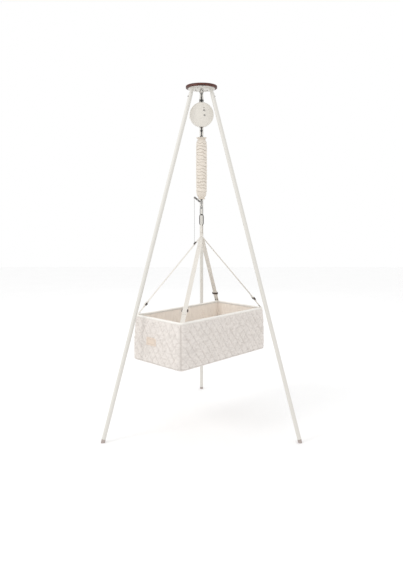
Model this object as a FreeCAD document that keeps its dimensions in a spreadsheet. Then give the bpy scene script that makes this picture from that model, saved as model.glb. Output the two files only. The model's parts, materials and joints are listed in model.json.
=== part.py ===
"""Bassinet on a tripod stand.

Three slanted tubes meet under a wooden disc.  A hook, a round drive unit and a coil
spring in a gathered cotton cover hang from the hub, and a soft quilted bassinet hangs
from the spring on four webbing straps.  Millimetres and degrees, +Z up, floor at zero,
the front towards -Y.
"""
import FreeCAD, Part
import math
import os

import Sketcher
from FreeCAD import Placement, Rotation, Vector

SIZES = {
    # stand
    "total_height": 1892, "axis_shift": -127.2, "disc_radius": 85, "disc_thickness": 13,
    "plate_radius": 73, "plate_thickness": 3, "boss_radius": 50,
    "foot_circle": 607, "leg_tilt": 16.33, "leg_diameter": 22, "leg_wall": 1.5,
    "leg_foot_length": 18, "leg_length": 1908, "spigot_length": 52, "spigot_gap": 0.1,
    "screw_circle": 36, "screw_diameter": 4, "foot_plug": 26,
    "eye_width": 22, "eye_height": 25, "eye_wire": 4.5,
    # hooks: outer height, outer width and wire of each
    "top_hook_height": 34.8, "top_hook_width": 19, "top_hook_wire": 4,
    "ball_level": 1816.5, "ball_radius": 8, "hanger_pin_radius": 2.5,
    "pull_hook_height": 26, "pull_hook_width": 16, "pull_hook_wire": 4,
    "carabiner_height": 47, "carabiner_width": 28, "carabiner_wire": 4.5, "carabiner_turn": 50,
    "ring_height": 66, "ring_width": 32, "ring_wire": 5, "gate_gap": 0.4,
    # drive unit
    "motor_level": 1740.5, "motor_turn": 10, "puck_radius": 65, "puck_half": 22, "puck_dome": 6,
    "shell_wall": 2.5, "drum_radius": 11, "drum_width": 18, "strap_thickness": 1.5,
    "strap_width": 15, "gear_module": 1.25, "gear_teeth": 42, "pinion_teeth": 14,
    "gear_width": 6, "gear_back": 10, "drive_radius": 14, "axle_radius": 3, "pinion_angle": 40,
    "running_gap": 0.05, "button_radius": 5, "button_travel": 1.5, "lens_radius": 2.2,
    # spring and its cover
    "spring_top": 1602, "spring_bottom": 1310, "coil_radius": 18, "coil_wire": 4,
    "coil_turns": 20, "cover_radius": 30, "cover_wall": 3, "cover_top": 1621,
    "cover_bottom": 1287, "swivel_level": 1262, "swivel_radius": 6.5,
    # bassinet
    "basket_turn": 46.2, "basket_length": 681, "basket_width": 363, "rim_level": 660,
    "basket_height": 252, "basket_flare": 12, "corner_radius": 18, "wall": 12,
    "bottom_round": 10, "mattress_corner": 20, "strap_inset": 16.5, "board_thickness": 5,
    "lining_thickness": 2, "mattress_thickness": 40,
    "binding_height": 10.5, "binding_skin": 1.5, "rim_wire": 6,
    # webbing
    "apex_level": 1084, "webbing_width": 25, "webbing_thickness": 1.8, "buckle_height": 70,
    "crown_radius": 27, "cord_radius": 1.2, "cord_reach": 42, "cord_top": 1291,
}

doc = FreeCAD.newDocument("bassinet_on_stand")
sheet = doc.addObject("Spreadsheet::Sheet", "sizes")


class Size:
    """A number from the sheet together with the formula that gives it."""

    def __init__(self, number, formula=None):
        self.number = float(number)
        self.formula = formula or repr(float(number))

    def join(self, other, sign, number):
        return Size(number, f"({self.formula} {sign} {of(other).formula})")

    def __add__(self, other):
        return self.join(other, "+", self.number + of(other).number)

    def __sub__(self, other):
        return self.join(other, "-", self.number - of(other).number)

    def __mul__(self, other):
        return self.join(other, "*", self.number * of(other).number)

    def __truediv__(self, other):
        return self.join(other, "/", self.number / of(other).number)

    def __radd__(self, other):
        return of(other) + self

    def __rsub__(self, other):
        return of(other) - self

    def __rmul__(self, other):
        return of(other) * self

    def __neg__(self):
        return Size(-self.number, f"(0 - {self.formula})")

    def __float__(self):
        return self.number


def of(value):
    """A plain number or a Size, as a Size."""
    return value if isinstance(value, Size) else Size(value)


class Sizes:
    """Every driving dimension as an attribute."""


q = Sizes()
for row, (alias, value) in enumerate(SIZES.items(), 1):
    sheet.set(f"A{row}", alias)
    sheet.set(f"B{row}", str(value))
    sheet.setAlias(f"B{row}", alias)
    setattr(q, alias, Size(value, f"sizes.{alias}"))
doc.recompute()

nodes = []


# ---------------------------------------------------------------- building helpers
def bind(item, name, value):
    """Set a property of a document object from a Size."""
    item.setExpression(name, of(value).formula)


def node(item, name):
    """Mark an object as a sub-part and label it."""
    item.Label = name
    nodes.append(item)
    return item


def helper(kind, name="helper"):
    return doc.addObject(kind, name)


def new_sketch(body, role, level=0):
    """A sketch on one of the body's own origin planes, lifted by level."""
    sketch = body.newObject("Sketcher::SketchObject", body.Name + "_sketch")
    plane = [item for item in body.Origin.OriginFeatures if item.Role == role][0]
    sketch.AttachmentSupport = [(plane, "")]
    sketch.MapMode = "FlatFace"
    bind(sketch, "AttachmentOffset.Base.z", level)
    return sketch


def fix_point(sketch, geometry, end, axis_kind, value):
    """Hold one coordinate of a point at a Size, or on the axis where it is zero."""
    if float(value) == 0:
        axis = -2 if axis_kind == "DistanceX" else -1
        sketch.addConstraint(Sketcher.Constraint("PointOnObject", geometry, end, axis))
        return
    index = sketch.addConstraint(
        Sketcher.Constraint(axis_kind, -1, 1, geometry, end, float(value)))
    sketch.setExpression(f"Constraints[{index}]", of(value).formula)


def draw_outline(sketch, points):
    """A closed outline of straight lines through points of Sizes."""
    corners = [Vector(float(across), float(along), 0) for across, along in points]
    first = sketch.GeometryCount
    count = len(corners)
    for index in range(count):
        sketch.addGeometry(Part.LineSegment(corners[index], corners[(index + 1) % count]), False)
    for index in range(count):
        after = first + (index + 1) % count
        sketch.addConstraint(Sketcher.Constraint("Coincident", first + index, 2, after, 1))
    for index, (across, along) in enumerate(points):
        fix_point(sketch, first + index, 1, "DistanceX", across)
        fix_point(sketch, first + index, 1, "DistanceY", along)


def draw_rounded(sketch, length, width, radius):
    """A rectangle with round corners, centred on the sketch's origin."""
    half_x, half_y, round_r = float(length) / 2, float(width) / 2, float(radius)
    first = sketch.GeometryCount
    centre_x, centre_y = half_x - round_r, half_y - round_r
    sides = [(-centre_x, -half_y, centre_x, -half_y), (half_x, -centre_y, half_x, centre_y),
             (centre_x, half_y, -centre_x, half_y), (-half_x, centre_y, -half_x, -centre_y)]
    centres = [(centre_x, -centre_y, -90), (centre_x, centre_y, 0),
               (-centre_x, centre_y, 90), (-centre_x, -centre_y, 180)]
    for (x1, y1, x2, y2), (cx, cy, start) in zip(sides, centres):
        sketch.addGeometry(Part.LineSegment(Vector(x1, y1, 0), Vector(x2, y2, 0)), False)
        circle = Part.Circle(Vector(cx, cy, 0), Vector(0, 0, 1), round_r)
        arc = Part.ArcOfCircle(circle, math.radians(start), math.radians(start + 90))
        sketch.addGeometry(arc, False)
    for corner in range(4):
        line = first + 2 * corner
        following = first + (2 * corner + 2) % 8
        sketch.addConstraint(Sketcher.Constraint("Tangent", line, 2, line + 1, 1))
        sketch.addConstraint(Sketcher.Constraint("Tangent", line + 1, 2, following, 1))
        straight = "Horizontal" if corner % 2 == 0 else "Vertical"
        sketch.addConstraint(Sketcher.Constraint(straight, line))
        if corner:
            sketch.addConstraint(Sketcher.Constraint("Equal", first + 1, line + 1))
    sketch.addConstraint(Sketcher.Constraint("Symmetric", first, 1, first + 4, 1, -1, 1))
    for kind, one, two, value in (("DistanceX", first + 6, first + 2, length),
                                  ("DistanceY", first, first + 4, width)):
        index = sketch.addConstraint(Sketcher.Constraint(kind, one, 1, two, 1, float(value)))
        sketch.setExpression(f"Constraints[{index}]", of(value).formula)
    index = sketch.addConstraint(Sketcher.Constraint("Radius", first + 1, float(radius)))
    sketch.setExpression(f"Constraints[{index}]", of(radius).formula)


def turned(name, profile):
    """A body of revolution about its own Z axis from (radius, height) corners."""
    body = doc.addObject("PartDesign::Body", name)
    sketch = new_sketch(body, "XZ_Plane")
    draw_outline(sketch, profile)
    revolution = body.newObject("PartDesign::Revolution", name + "_turn")
    revolution.Profile = sketch
    revolution.ReferenceAxis = (sketch, ["V_Axis"])
    revolution.Angle = 360
    doc.recompute()
    return body


def rounded_edges(body, radius, chosen):
    """Fillet the edges of a body's tip for which chosen(edge) holds."""
    base = body.Tip
    names = [f"Edge{index}" for index, edge in enumerate(base.Shape.Edges, 1) if chosen(edge)]
    fillet = body.newObject("PartDesign::Fillet", body.Name + "_round")
    fillet.Base = (base, names)
    bind(fillet, "Radius", radius)
    doc.recompute()
    return body


def flat_edge_at(level):
    """Chooses edges that lie wholly at one height."""
    return lambda edge: (edge.BoundBox.ZLength < 1e-4
                         and abs(edge.BoundBox.ZMin - float(level)) < 1e-4)


def padded(name, loops, height, level=0):
    """A body padded upwards from rounded rectangles (length, width, radius)."""
    body = doc.addObject("PartDesign::Body", name)
    sketch = new_sketch(body, "XY_Plane", level)
    for length, width, radius in loops:
        draw_rounded(sketch, length, width, radius)
    pad = body.newObject("PartDesign::Pad", name + "_pad")
    pad.Profile = sketch
    bind(pad, "Length", height)
    doc.recompute()
    return body


def box(length, width, height, centre):
    """A Part::Box centred on a point of Sizes."""
    item = helper("Part::Box")
    for key, value in (("Length", length), ("Width", width), ("Height", height)):
        bind(item, key, value)
    for axis, value, extent in zip("xyz", centre, (length, width, height)):
        bind(item, f"Placement.Base.{axis}", of(value) - of(extent) / 2)
    return item


def cylinder(radius, length, start, towards=Vector(0, 0, 1)):
    """A Part::Cylinder from a start point along a direction."""
    item = helper("Part::Cylinder")
    item.Placement = Placement(Vector(), Rotation(Vector(0, 0, 1), towards))
    bind(item, "Radius", radius)
    bind(item, "Height", length)
    for axis, value in zip("xyz", start):
        bind(item, f"Placement.Base.{axis}", value)
    return item


def ball(radius, centre):
    item = helper("Part::Sphere")
    bind(item, "Radius", radius)
    for axis, value in zip("xyz", centre):
        bind(item, f"Placement.Base.{axis}", value)
    return item


def ring(radius, wire, centre, normal=Vector(0, 0, 1), sweep=360):
    """A Part::Torus, or the part of one that spans sweep degrees."""
    item = helper("Part::Torus")
    seam_turn = 0 if sweep < 360 else 40
    item.Placement = Placement(Vector(), Rotation(Vector(0, 0, 1), normal)
                               * Rotation(Vector(0, 0, 1), seam_turn))
    item.Angle3 = sweep
    bind(item, "Radius1", radius)
    bind(item, "Radius2", of(wire) / 2)
    for axis, value in zip("xyz", centre):
        bind(item, f"Placement.Base.{axis}", value)
    return item


def fused(items):
    item = helper("Part::MultiFuse")
    item.Shapes = items
    return item


def cut(base, tools):
    item = helper("Part::Cut")
    item.Base = base
    item.Tool = tools[0] if len(tools) == 1 else fused(tools)
    return item


def placed(item, place):
    """Move a finished object, with whatever it was made from, to its place."""
    doc.recompute()
    if item.TypeId == "PartDesign::Body":
        item.Placement = place
        return item
    mover = helper("Part::Compound")
    mover.Links = [item]
    mover.Placement = place
    return mover


# ---------------------------------------------------------------- frames
AXIS = Placement(Vector(0, float(q.axis_shift), 0), Rotation())
MOTOR = Placement(Vector(0, float(q.axis_shift), float(q.motor_level)),
                  Rotation(Vector(0, 0, 1), float(q.motor_turn)) * Rotation(Vector(1, 0, 0), 90))
CRADLE = Placement(Vector(0, float(q.axis_shift), 0),
                   Rotation(Vector(0, 0, 1), float(q.basket_turn)))
LEGS = {"left": 210, "right": 330, "back": 90}
strap_end_x = float(q.basket_length / 2 - q.strap_inset)
strap_end_y = float(q.basket_width / 2 - q.wall / 2)
strap_angle = math.degrees(math.atan2(strap_end_y, strap_end_x))
strap_reach = math.hypot(strap_end_x, strap_end_y)
CORNERS = {"back": strap_angle, "left": 180 - strap_angle, "front": 180 + strap_angle,
           "right": -strap_angle}
CORD = AXIS * Placement(Vector(), Rotation(Vector(0, 0, 1), float(q.basket_turn) - strap_angle))


def leg_frame(azimuth):
    """At the middle of a foot, with +Z up along the slanted leg and +X away from the stand."""
    turn = math.radians(azimuth)
    foot = Vector(math.cos(turn), math.sin(turn), 0) * float(q.foot_circle)
    lean = Rotation(Vector(0, 0, 1), azimuth) * Rotation(Vector(0, 1, 0), -float(q.leg_tilt))
    return AXIS * Placement(foot, lean)


# ---------------------------------------------------------------- stand
disc_bottom = q.total_height - q.disc_thickness
plate_bottom = disc_bottom - q.plate_thickness
leg_radius = q.leg_diameter / 2
tube_bore = leg_radius - q.leg_wall
leg_top = q.leg_foot_length + q.leg_length
screw_level = leg_top - 22


def around(count, radius):
    """Points evenly spaced on a circle, the first towards +Y."""
    for index in range(count):
        turn = math.radians(90 + 360 * index / count + 60)
        yield Vector(math.cos(turn), math.sin(turn), 0) * float(radius)


def make_disc():
    """Wooden disc with soft edges, a recess for the nut and pilot holes for the screws."""
    nut_recess = 11
    nut_depth = 9
    body = turned("disc_blank", [(0, disc_bottom + nut_depth), (nut_recess, disc_bottom + nut_depth),
                                 (nut_recess, disc_bottom), (q.disc_radius, disc_bottom),
                                 (q.disc_radius, q.total_height), (0, q.total_height)])
    rounded_edges(body, 3, lambda edge: edge.BoundBox.XLength > 2 * float(q.disc_radius) - 1
                  and edge.BoundBox.ZLength < 1e-4)
    pilots = [cylinder(q.screw_diameter / 2, 8, (point.x, point.y, disc_bottom))
              for point in around(3, q.screw_circle)]
    node(placed(cut(body, pilots), AXIS), "top_disc")


def make_hub():
    """Steel plate under the disc with three slanted spigots that carry the legs."""
    eye_shank = 4.05
    plate = turned("hub_plate", [(eye_shank, plate_bottom - q.plate_thickness),
                                 (q.boss_radius, plate_bottom - q.plate_thickness),
                                 (q.boss_radius, plate_bottom), (q.plate_radius, plate_bottom),
                                 (q.plate_radius, disc_bottom), (eye_shank, disc_bottom)])
    pieces = [placed(plate, AXIS)]
    spigot_radius = tube_bore - q.spigot_gap
    spigot_start = leg_top - q.spigot_length
    above_plate = 40
    for name, azimuth in LEGS.items():
        spigot = turned(f"spigot_{name}", [(0, spigot_start), (spigot_radius, spigot_start),
                                           (spigot_radius, leg_top + above_plate),
                                           (0, leg_top + above_plate)])
        hole = cylinder(q.screw_diameter / 2, 14, (0, 0, screw_level), Vector(1, 0, 0))
        pieces.append(placed(cut(spigot, [hole]), leg_frame(azimuth)))
    tools = [box(400, 400, 100, (0, q.axis_shift, disc_bottom + 50))]
    for point in around(3, q.screw_circle):
        where = (point.x, point.y + q.axis_shift.number, plate_bottom - 10)
        tools.append(cylinder(q.screw_diameter / 2 + 0.2, 20, where))
    node(cut(fused(pieces), tools), "hub")


def make_hub_screws():
    """Three screws that hold the disc on the hub."""
    head_radius, head_height, shank_length = 3.8, 2.4, 13.5
    head_level = plate_bottom - q.plate_thickness - head_height
    screws = []
    for point in around(3, q.screw_circle):
        screw = turned("hub_screw", [(0, head_level), (head_radius, head_level),
                                     (head_radius, head_level + head_height),
                                     (q.screw_diameter / 2, head_level + head_height),
                                     (q.screw_diameter / 2, head_level + shank_length),
                                     (0, head_level + shank_length)])
        screws.append(placed(screw, AXIS * Placement(point, Rotation())))
    group = helper("Part::Compound")
    group.Links = screws
    node(group, "hub_screws")


def make_legs():
    """Three tubes, their rubber feet cut flat on the floor, and their locking screws."""
    screws = []
    for name, azimuth in LEGS.items():
        frame = leg_frame(azimuth)
        tube = turned(f"tube_{name}", [(tube_bore, q.leg_foot_length), (leg_radius, q.leg_foot_length),
                                       (leg_radius, leg_top), (tube_bore, leg_top)])
        hole = cylinder(q.screw_diameter / 2 + 0.2, 20, (0, 0, screw_level), Vector(1, 0, 0))
        node(placed(cut(tube, [hole]), frame), f"leg_{name}")
        plug_radius = tube_bore - 0.1
        cap_radius = leg_radius - 0.2
        below = 10
        blank = turned(f"foot_blank_{name}", [(0, -below), (cap_radius, -below),
                                              (cap_radius, q.leg_foot_length),
                                              (plug_radius, q.leg_foot_length),
                                              (plug_radius, q.leg_foot_length + q.foot_plug),
                                              (0, q.leg_foot_length + q.foot_plug)])
        floor = box(2000, 2000, 100, (0, 0, -50))
        node(cut(placed(blank, frame), [floor]), f"foot_{name}")
        shank_end, head_radius, head_height = 4, 3.6, 2.2
        reach = leg_radius + 0.1
        screw = turned("leg_screw", [(0, shank_end), (q.screw_diameter / 2, shank_end),
                                     (q.screw_diameter / 2, reach), (head_radius, reach),
                                     (head_radius, reach + head_height), (0, reach + head_height)])
        sideways = Placement(Vector(0, 0, float(screw_level)), Rotation(Vector(0, 1, 0), 90))
        screws.append(placed(screw, frame * sideways))
    group = helper("Part::Compound")
    group.Links = screws
    node(group, "leg_screws")


def make_eye():
    """Eye bolt through the hub, with its nut in the disc's recess."""
    boss_bottom = plate_bottom - q.plate_thickness
    shank_radius = 4
    loop = long_link(q.eye_height, q.eye_width, q.eye_wire, boss_bottom - q.eye_height + 0.5)
    shank = cylinder(shank_radius, 15, (0, 0, boss_bottom - 1))
    collar = cylinder(7, 2, (0, 0, boss_bottom - 2))
    node(placed(fused([*loop, shank, collar]), AXIS), "eye_bolt")
    nut_radius, nut_height = 7.4, 6
    nut = turned("nut", [(shank_radius, disc_bottom), (nut_radius, disc_bottom),
                         (nut_radius, disc_bottom + nut_height),
                         (shank_radius, disc_bottom + nut_height)])
    node(placed(nut, AXIS), "eye_nut")


# ---------------------------------------------------------------- links and hooks
def long_link(height, width, wire, bottom):
    """Round wire bent to a closed link in the XZ plane: two half rings and two rods."""
    bend = (of(width) - wire) / 2
    low = of(bottom) + of(wire) / 2 + bend
    high = of(bottom) + of(height) - of(wire) / 2 - bend
    lower = ring(bend, wire, (0, 0, low), Vector(0, -1, 0), 180)
    upper = ring(bend, wire, (0, 0, high), Vector(0, -1, 0), 180)
    upper.Placement.Rotation = Rotation(Vector(1, 0, 0), 90)
    lower.Placement.Rotation = Rotation(Vector(1, 0, 0), -90)
    rods = [cylinder(of(wire) / 2, high - low, (side, 0, low)) for side in (bend, -bend)]
    return [lower, upper, *rods]


def snap_hook(name, height, width, wire, bottom, place, extras=(), slack=0.15):
    """A link with a sprung gate in its +X side, as two sub-parts."""
    bend = (of(width) - wire) / 2
    low = of(bottom) + of(wire) / 2 + bend
    high = of(bottom) + of(height) - of(wire) / 2 - bend
    hinge = low + (high - low) * slack
    window = box(of(wire) * 1.5, of(wire) * 1.5, high - hinge, (bend, 0, (high + hinge) / 2))
    body = cut(fused([*long_link(height, width, wire, bottom), *extras]), [window])
    node(placed(body, place), name)
    pivot = hinge + of(wire) / 2 + q.gate_gap
    knuckle = ball(of(wire) / 2, (bend, 0, pivot))
    rod = cylinder(of(wire) / 2, high - q.gate_gap - pivot, (bend, 0, pivot))
    node(placed(fused([knuckle, rod]), place), name + "_gate")


def make_top_hook():
    """Snap hook in the eye, ending in a ball that the drive unit hangs from."""
    sideways = AXIS * Placement(Vector(), Rotation(Vector(0, 0, 1), float(q.motor_turn) + 90))
    bottom = q.ball_level + q.ball_radius - 2
    knob = ball(q.ball_radius, (0, 0, q.ball_level))
    pin_hole = cylinder(q.hanger_pin_radius + q.running_gap, 40, (0, -20, q.ball_level),
                        Vector(0, 1, 0))
    drilled = cut(knob, [pin_hole])
    snap_hook("top_hook", q.top_hook_height, q.top_hook_width, q.top_hook_wire, bottom,
              sideways, [drilled])


# ---------------------------------------------------------------- drive unit
drum_x = -(q.drum_radius + q.strap_thickness * 1.5 + 0.2)
drum_y = of(-6)
gear_distance = q.gear_module * (q.gear_teeth + q.pinion_teeth) / 2
pinion_turn = math.radians(float(q.pinion_angle))
pinion_x = drum_x + gear_distance * math.cos(pinion_turn)
pinion_y = drum_y + gear_distance * math.sin(pinion_turn)
chassis_back = of(-15)
chassis_thickness = 3
button_spots = {"power_button": (10, 21), "speed_button": (12, -5)}
lens_spot = (9, 34)
inlet_spot = (-12, -10)


def dome_height(radius):
    """Height of the front shell's outer face above its rim at a radius."""
    share = radius / float(q.puck_radius)
    return float(q.puck_dome) * (1 - share ** 2)


def shell_profile(wall, dome):
    """Half section of a cup with a domed floor, open towards zero height."""
    outer = q.puck_radius
    edge = 8
    steps = 6
    points = [(outer - wall, of(0)), (outer, of(0)), (outer, q.puck_half - edge)]
    for index in range(1, steps + 1):
        turn = math.radians(90 * index / steps)
        points.append((outer - edge * (1 - math.cos(turn)), q.puck_half - edge * (1 - math.sin(turn))))
    rise = [0.75, 0.5, 0.25]
    for share in rise:
        radius = (float(outer) - edge) * share
        points.append((of(radius), q.puck_half + dome * (1 - share ** 2)))
    points.append((of(0), q.puck_half + dome))
    points.append((of(0), q.puck_half + dome - wall))
    for share in reversed(rise):
        radius = (float(outer) - edge) * share
        points.append((of(radius), q.puck_half + dome * (1 - share ** 2) - wall))
    points.append((outer - edge, q.puck_half - wall))
    inner_edge = edge - float(wall)
    for index in range(steps - 1, 0, -1):
        turn = math.radians(90 * index / steps)
        points.append((outer - edge + inner_edge * math.cos(turn),
                       q.puck_half - edge + inner_edge * math.sin(turn)))
    points.append((outer - wall, q.puck_half - edge))
    return points


def make_shells():
    """Front and back shells, with a slot for the hanger, the strap's exit and the buttons."""
    hanger_slot = box(24.8, 16, 14.6, (0, q.puck_radius, -6))
    exit_slot = box(14, 30, 26, (0, -q.puck_radius, 0))
    inlet_hole = cylinder(6, 30, (-(q.puck_radius) - 5, *inlet_spot), Vector(1, 0, 0))
    front = turned("front_blank", shell_profile(q.shell_wall, q.puck_dome))
    front_tools = [hanger_slot, exit_slot]
    for across, up in button_spots.values():
        front_tools.append(cylinder(q.button_radius + 0.3, 30, (across, up, 10)))
    front_tools.append(cylinder(q.lens_radius, 30, (lens_spot[0], lens_spot[1], 10)))
    node(placed(cut(front, front_tools), MOTOR), "motor_front_shell")
    back = turned("back_blank", shell_profile(q.shell_wall, of(0)))
    back_turned = placed(back, Placement(Vector(), Rotation(Vector(0, 1, 0), 180)))
    screw_holes = [cylinder(1.7, 40, (point.x, point.y, -40)) for point in shell_screw_spots()]
    back_tools = [hanger_slot, exit_slot, inlet_hole, *screw_holes]
    node(placed(cut(back_turned, back_tools), MOTOR), "motor_back_shell")


def shell_screw_spots():
    """Four places near the rim of the drive unit."""
    for degrees in (45, 135, 225, 315):
        turn = math.radians(degrees)
        yield Vector(math.cos(turn), math.sin(turn), 0) * 50


def make_shell_screws():
    """Four long screws from the back shell into posts of the chassis."""
    back_face = -q.puck_half
    screws = []
    for point in shell_screw_spots():
        screw = turned("shell_screw", [(0, back_face - 1.8), (3, back_face - 1.8), (3, back_face),
                                       (1.5, back_face), (1.5, back_face + 12), (0, back_face + 12)])
        screws.append(placed(screw, MOTOR * Placement(point, Rotation())))
    group = helper("Part::Compound")
    group.Links = screws
    node(group, "shell_screws")


def make_chassis():
    """Steel chassis: a plate across the unit and a clevis on top that hangs on the pin."""
    ear_gap = float(q.ball_radius) * 2 + 0.8
    ear_thickness = 3
    ear_top = q.ball_level - q.motor_level + 7
    ear_bottom = q.puck_radius - 9
    ear_height = ear_top - ear_bottom
    depth = 14
    middle_z = -6
    arm_length, arm_width = 108, 9
    ears = [box(ear_thickness, ear_height, depth,
                (side * (ear_gap + ear_thickness) / 2, ear_bottom + ear_height / 2, middle_z))
            for side in (1, -1)]
    bridge = box(ear_gap + 2 * ear_thickness, 3, depth, (0, ear_bottom + 1.5, middle_z))
    neck = box(ear_gap, 16, chassis_thickness, (0, ear_bottom - 7, chassis_back + 3.5))
    plate = box(76, 82, chassis_thickness, (0, 6, chassis_back + 1.5))
    posts = [cylinder(4, 4.9, (point.x, point.y, chassis_back - 4.3))
             for point in shell_screw_spots()]
    arms = []
    for turn in (45, -45):
        arm = box(arm_length, arm_width, chassis_thickness - 0.4, (0, 0, chassis_back + 1.5))
        arms.append(placed(arm, Placement(Vector(), Rotation(Vector(0, 0, 1), turn))))
    pin_hole = cylinder(q.hanger_pin_radius, 60, (-30, q.ball_level - q.motor_level, 0),
                        Vector(1, 0, 0))
    axle_hole = cylinder(q.axle_radius, 20, (drum_x, drum_y, chassis_back - 8))
    screw_holes = [cylinder(1.5, 20, (point.x, point.y, chassis_back - 10))
                   for point in shell_screw_spots()]
    body = cut(fused([*ears, bridge, neck, plate, *posts, *arms]), [pin_hole, axle_hole, *screw_holes])
    node(placed(body, MOTOR), "motor_chassis")
    pin = cylinder(q.hanger_pin_radius, 25, (-12.5, q.ball_level - q.motor_level, 0), Vector(1, 0, 0))
    node(placed(pin, MOTOR), "hanger_pin")
    axle = cylinder(q.axle_radius, 32, (drum_x, drum_y, chassis_back))
    node(placed(axle, MOTOR), "drum_axle")


def involute(angle):
    return math.tan(angle) - angle


def gear_outline(teeth, backlash=0.12):
    """Corner points of a gear with twenty-degree involute teeth, a tooth centred on +X."""
    module, count = float(q.gear_module), round(float(teeth))
    pitch = module * count / 2
    base = pitch * math.cos(math.radians(20))
    root, tip = pitch - 1.25 * module, pitch + 0.95 * module
    radii = [max(base, root) + (tip - max(base, root)) * share for share in (0, 0.35, 0.7, 1)]
    half_pitch = (math.pi * module / 2 - backlash) / (2 * pitch)
    points = []
    for index in range(count):
        middle = 2 * math.pi * index / count
        flank = [(radius, half_pitch + involute(math.radians(20)) - involute(math.acos(base / radius)))
                 for radius in radii]
        if root < base:
            flank.insert(0, (root, flank[0][1]))
        points += [Vector(radius * math.cos(middle - half), radius * math.sin(middle - half), 0)
                   for radius, half in flank]
        points += [Vector(radius * math.cos(middle + half), radius * math.sin(middle + half), 0)
                   for radius, half in reversed(flank)]
    return points


def gear_solid(teeth, bore, turn):
    """An extruded gear about Z, turned so that its teeth mesh."""
    points = gear_outline(teeth)
    face = Part.Face(Part.makePolygon([*points, points[0]]))
    solid = face.extrude(Vector(0, 0, float(q.gear_width)))
    solid = solid.cut(Part.makeCylinder(bore, 50, Vector(0, 0, -10)))
    item = helper("Part::Feature")
    item.Shape = solid
    item.Placement = Placement(Vector(), Rotation(Vector(0, 0, 1), turn))
    return item


def make_gears():
    """Drum with its gear, the wound strap, the pinion and the motor's shaft."""
    bore = float(q.axle_radius + q.running_gap)
    gear_turn = float(q.pinion_angle)
    at_drum = MOTOR * Placement(Vector(float(drum_x), float(drum_y), 0), Rotation())
    at_pinion = MOTOR * Placement(Vector(float(pinion_x), float(pinion_y), 0), Rotation())
    lift = Placement(Vector(0, 0, float(q.gear_back)), Rotation())
    gear = placed(gear_solid(q.gear_teeth, bore, gear_turn), at_drum * lift)
    half = q.drum_width / 2
    flange = q.drum_radius + 2.5
    drum = turned("drum_blank", [(bore, -half - 1), (flange, -half - 1), (flange, -half + 0.5),
                                 (q.drum_radius, -half + 0.5), (q.drum_radius, half - 0.5),
                                 (flange, half - 0.5), (flange, half + 1), (bore, half + 1)])
    node(fused([placed(drum, at_drum), gear]), "drum_gear")
    coil = turned("coil_blank", [(q.drum_radius, -(q.strap_width / 2)),
                                 (q.drum_radius + q.strap_thickness, -(q.strap_width / 2)),
                                 (q.drum_radius + q.strap_thickness, q.strap_width / 2),
                                 (q.drum_radius, q.strap_width / 2)])
    node(placed(coil, at_drum), "strap_coil")
    pinion_pitch = 360 / float(q.pinion_teeth)
    pinion_turned = float(q.pinion_angle) + 180 + pinion_pitch / 2
    shaft_radius = 1.5
    teeth = placed(gear_solid(q.pinion_teeth, shaft_radius, pinion_turned), at_pinion * lift)
    shaft = cylinder(shaft_radius, 16, (0, 0, 0.5))
    node(fused([placed(shaft, at_pinion), teeth]), "pinion")


def make_drive_motor():
    """Can motor on the chassis, with a blind bore for its shaft."""
    front = q.gear_back - 1.5
    back = chassis_back + chassis_thickness
    can = turned("can_blank", [(0, back), (q.drive_radius, back), (q.drive_radius, front - 2),
                               (6, front - 2), (6, front), (q.running_gap + 1.5, front),
                               (q.running_gap + 1.5, of(0)), (0, of(0))])
    at_pinion = MOTOR * Placement(Vector(float(pinion_x), float(pinion_y), 0), Rotation())
    node(placed(can, at_pinion), "drive_motor")


def make_front_parts():
    """Circuit board, lens, buttons and the power inlet."""
    board_level = 17.5
    board = box(34, 62, 1.6, (14, 14, board_level + 0.8))
    node(placed(board, MOTOR), "circuit_board")
    for name, (across, up) in button_spots.items():
        proud = 1.2
        face = float(q.puck_half) + dome_height(math.hypot(across, up)) + proud
        start = board_level + 1.6 + float(q.button_travel) + 0.3
        button = turned(name + "_blank", [(0, start), (q.button_radius, start),
                                          (q.button_radius, face - 0.8),
                                          (q.button_radius - 0.8, face), (0, face)])
        spot = Placement(Vector(across, up, 0), Rotation())
        node(placed(button, MOTOR * spot), name)
    across, up = lens_spot
    face = float(q.puck_half) + dome_height(math.hypot(across, up)) + 0.3
    lens = cylinder(q.lens_radius, 5, (across, up, face - 5))
    node(placed(lens, MOTOR), "status_lens")
    inwards = Vector(1, 0, 0)
    tip = -64
    inlet = cut(fused([cylinder(5.9, 14, (tip, *inlet_spot), inwards),
                       cylinder(7.5, 2, (tip + 13.5, *inlet_spot), inwards)]),
                [cylinder(2.8, 9, (tip, *inlet_spot), inwards)])
    node(placed(inlet, MOTOR), "power_inlet")


def make_exit():
    """Grommet that guides the pull strap out of the bottom of the unit."""
    low = -(q.puck_radius + 1.5)
    outer = box(13.8, 6, 25.8, (0, low + 3, 0))
    slot = box(5, 20, 17, (0, low + 3, 0))
    node(placed(cut(outer, [slot]), MOTOR), "strap_grommet")


pull_bar = of(1668)


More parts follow.
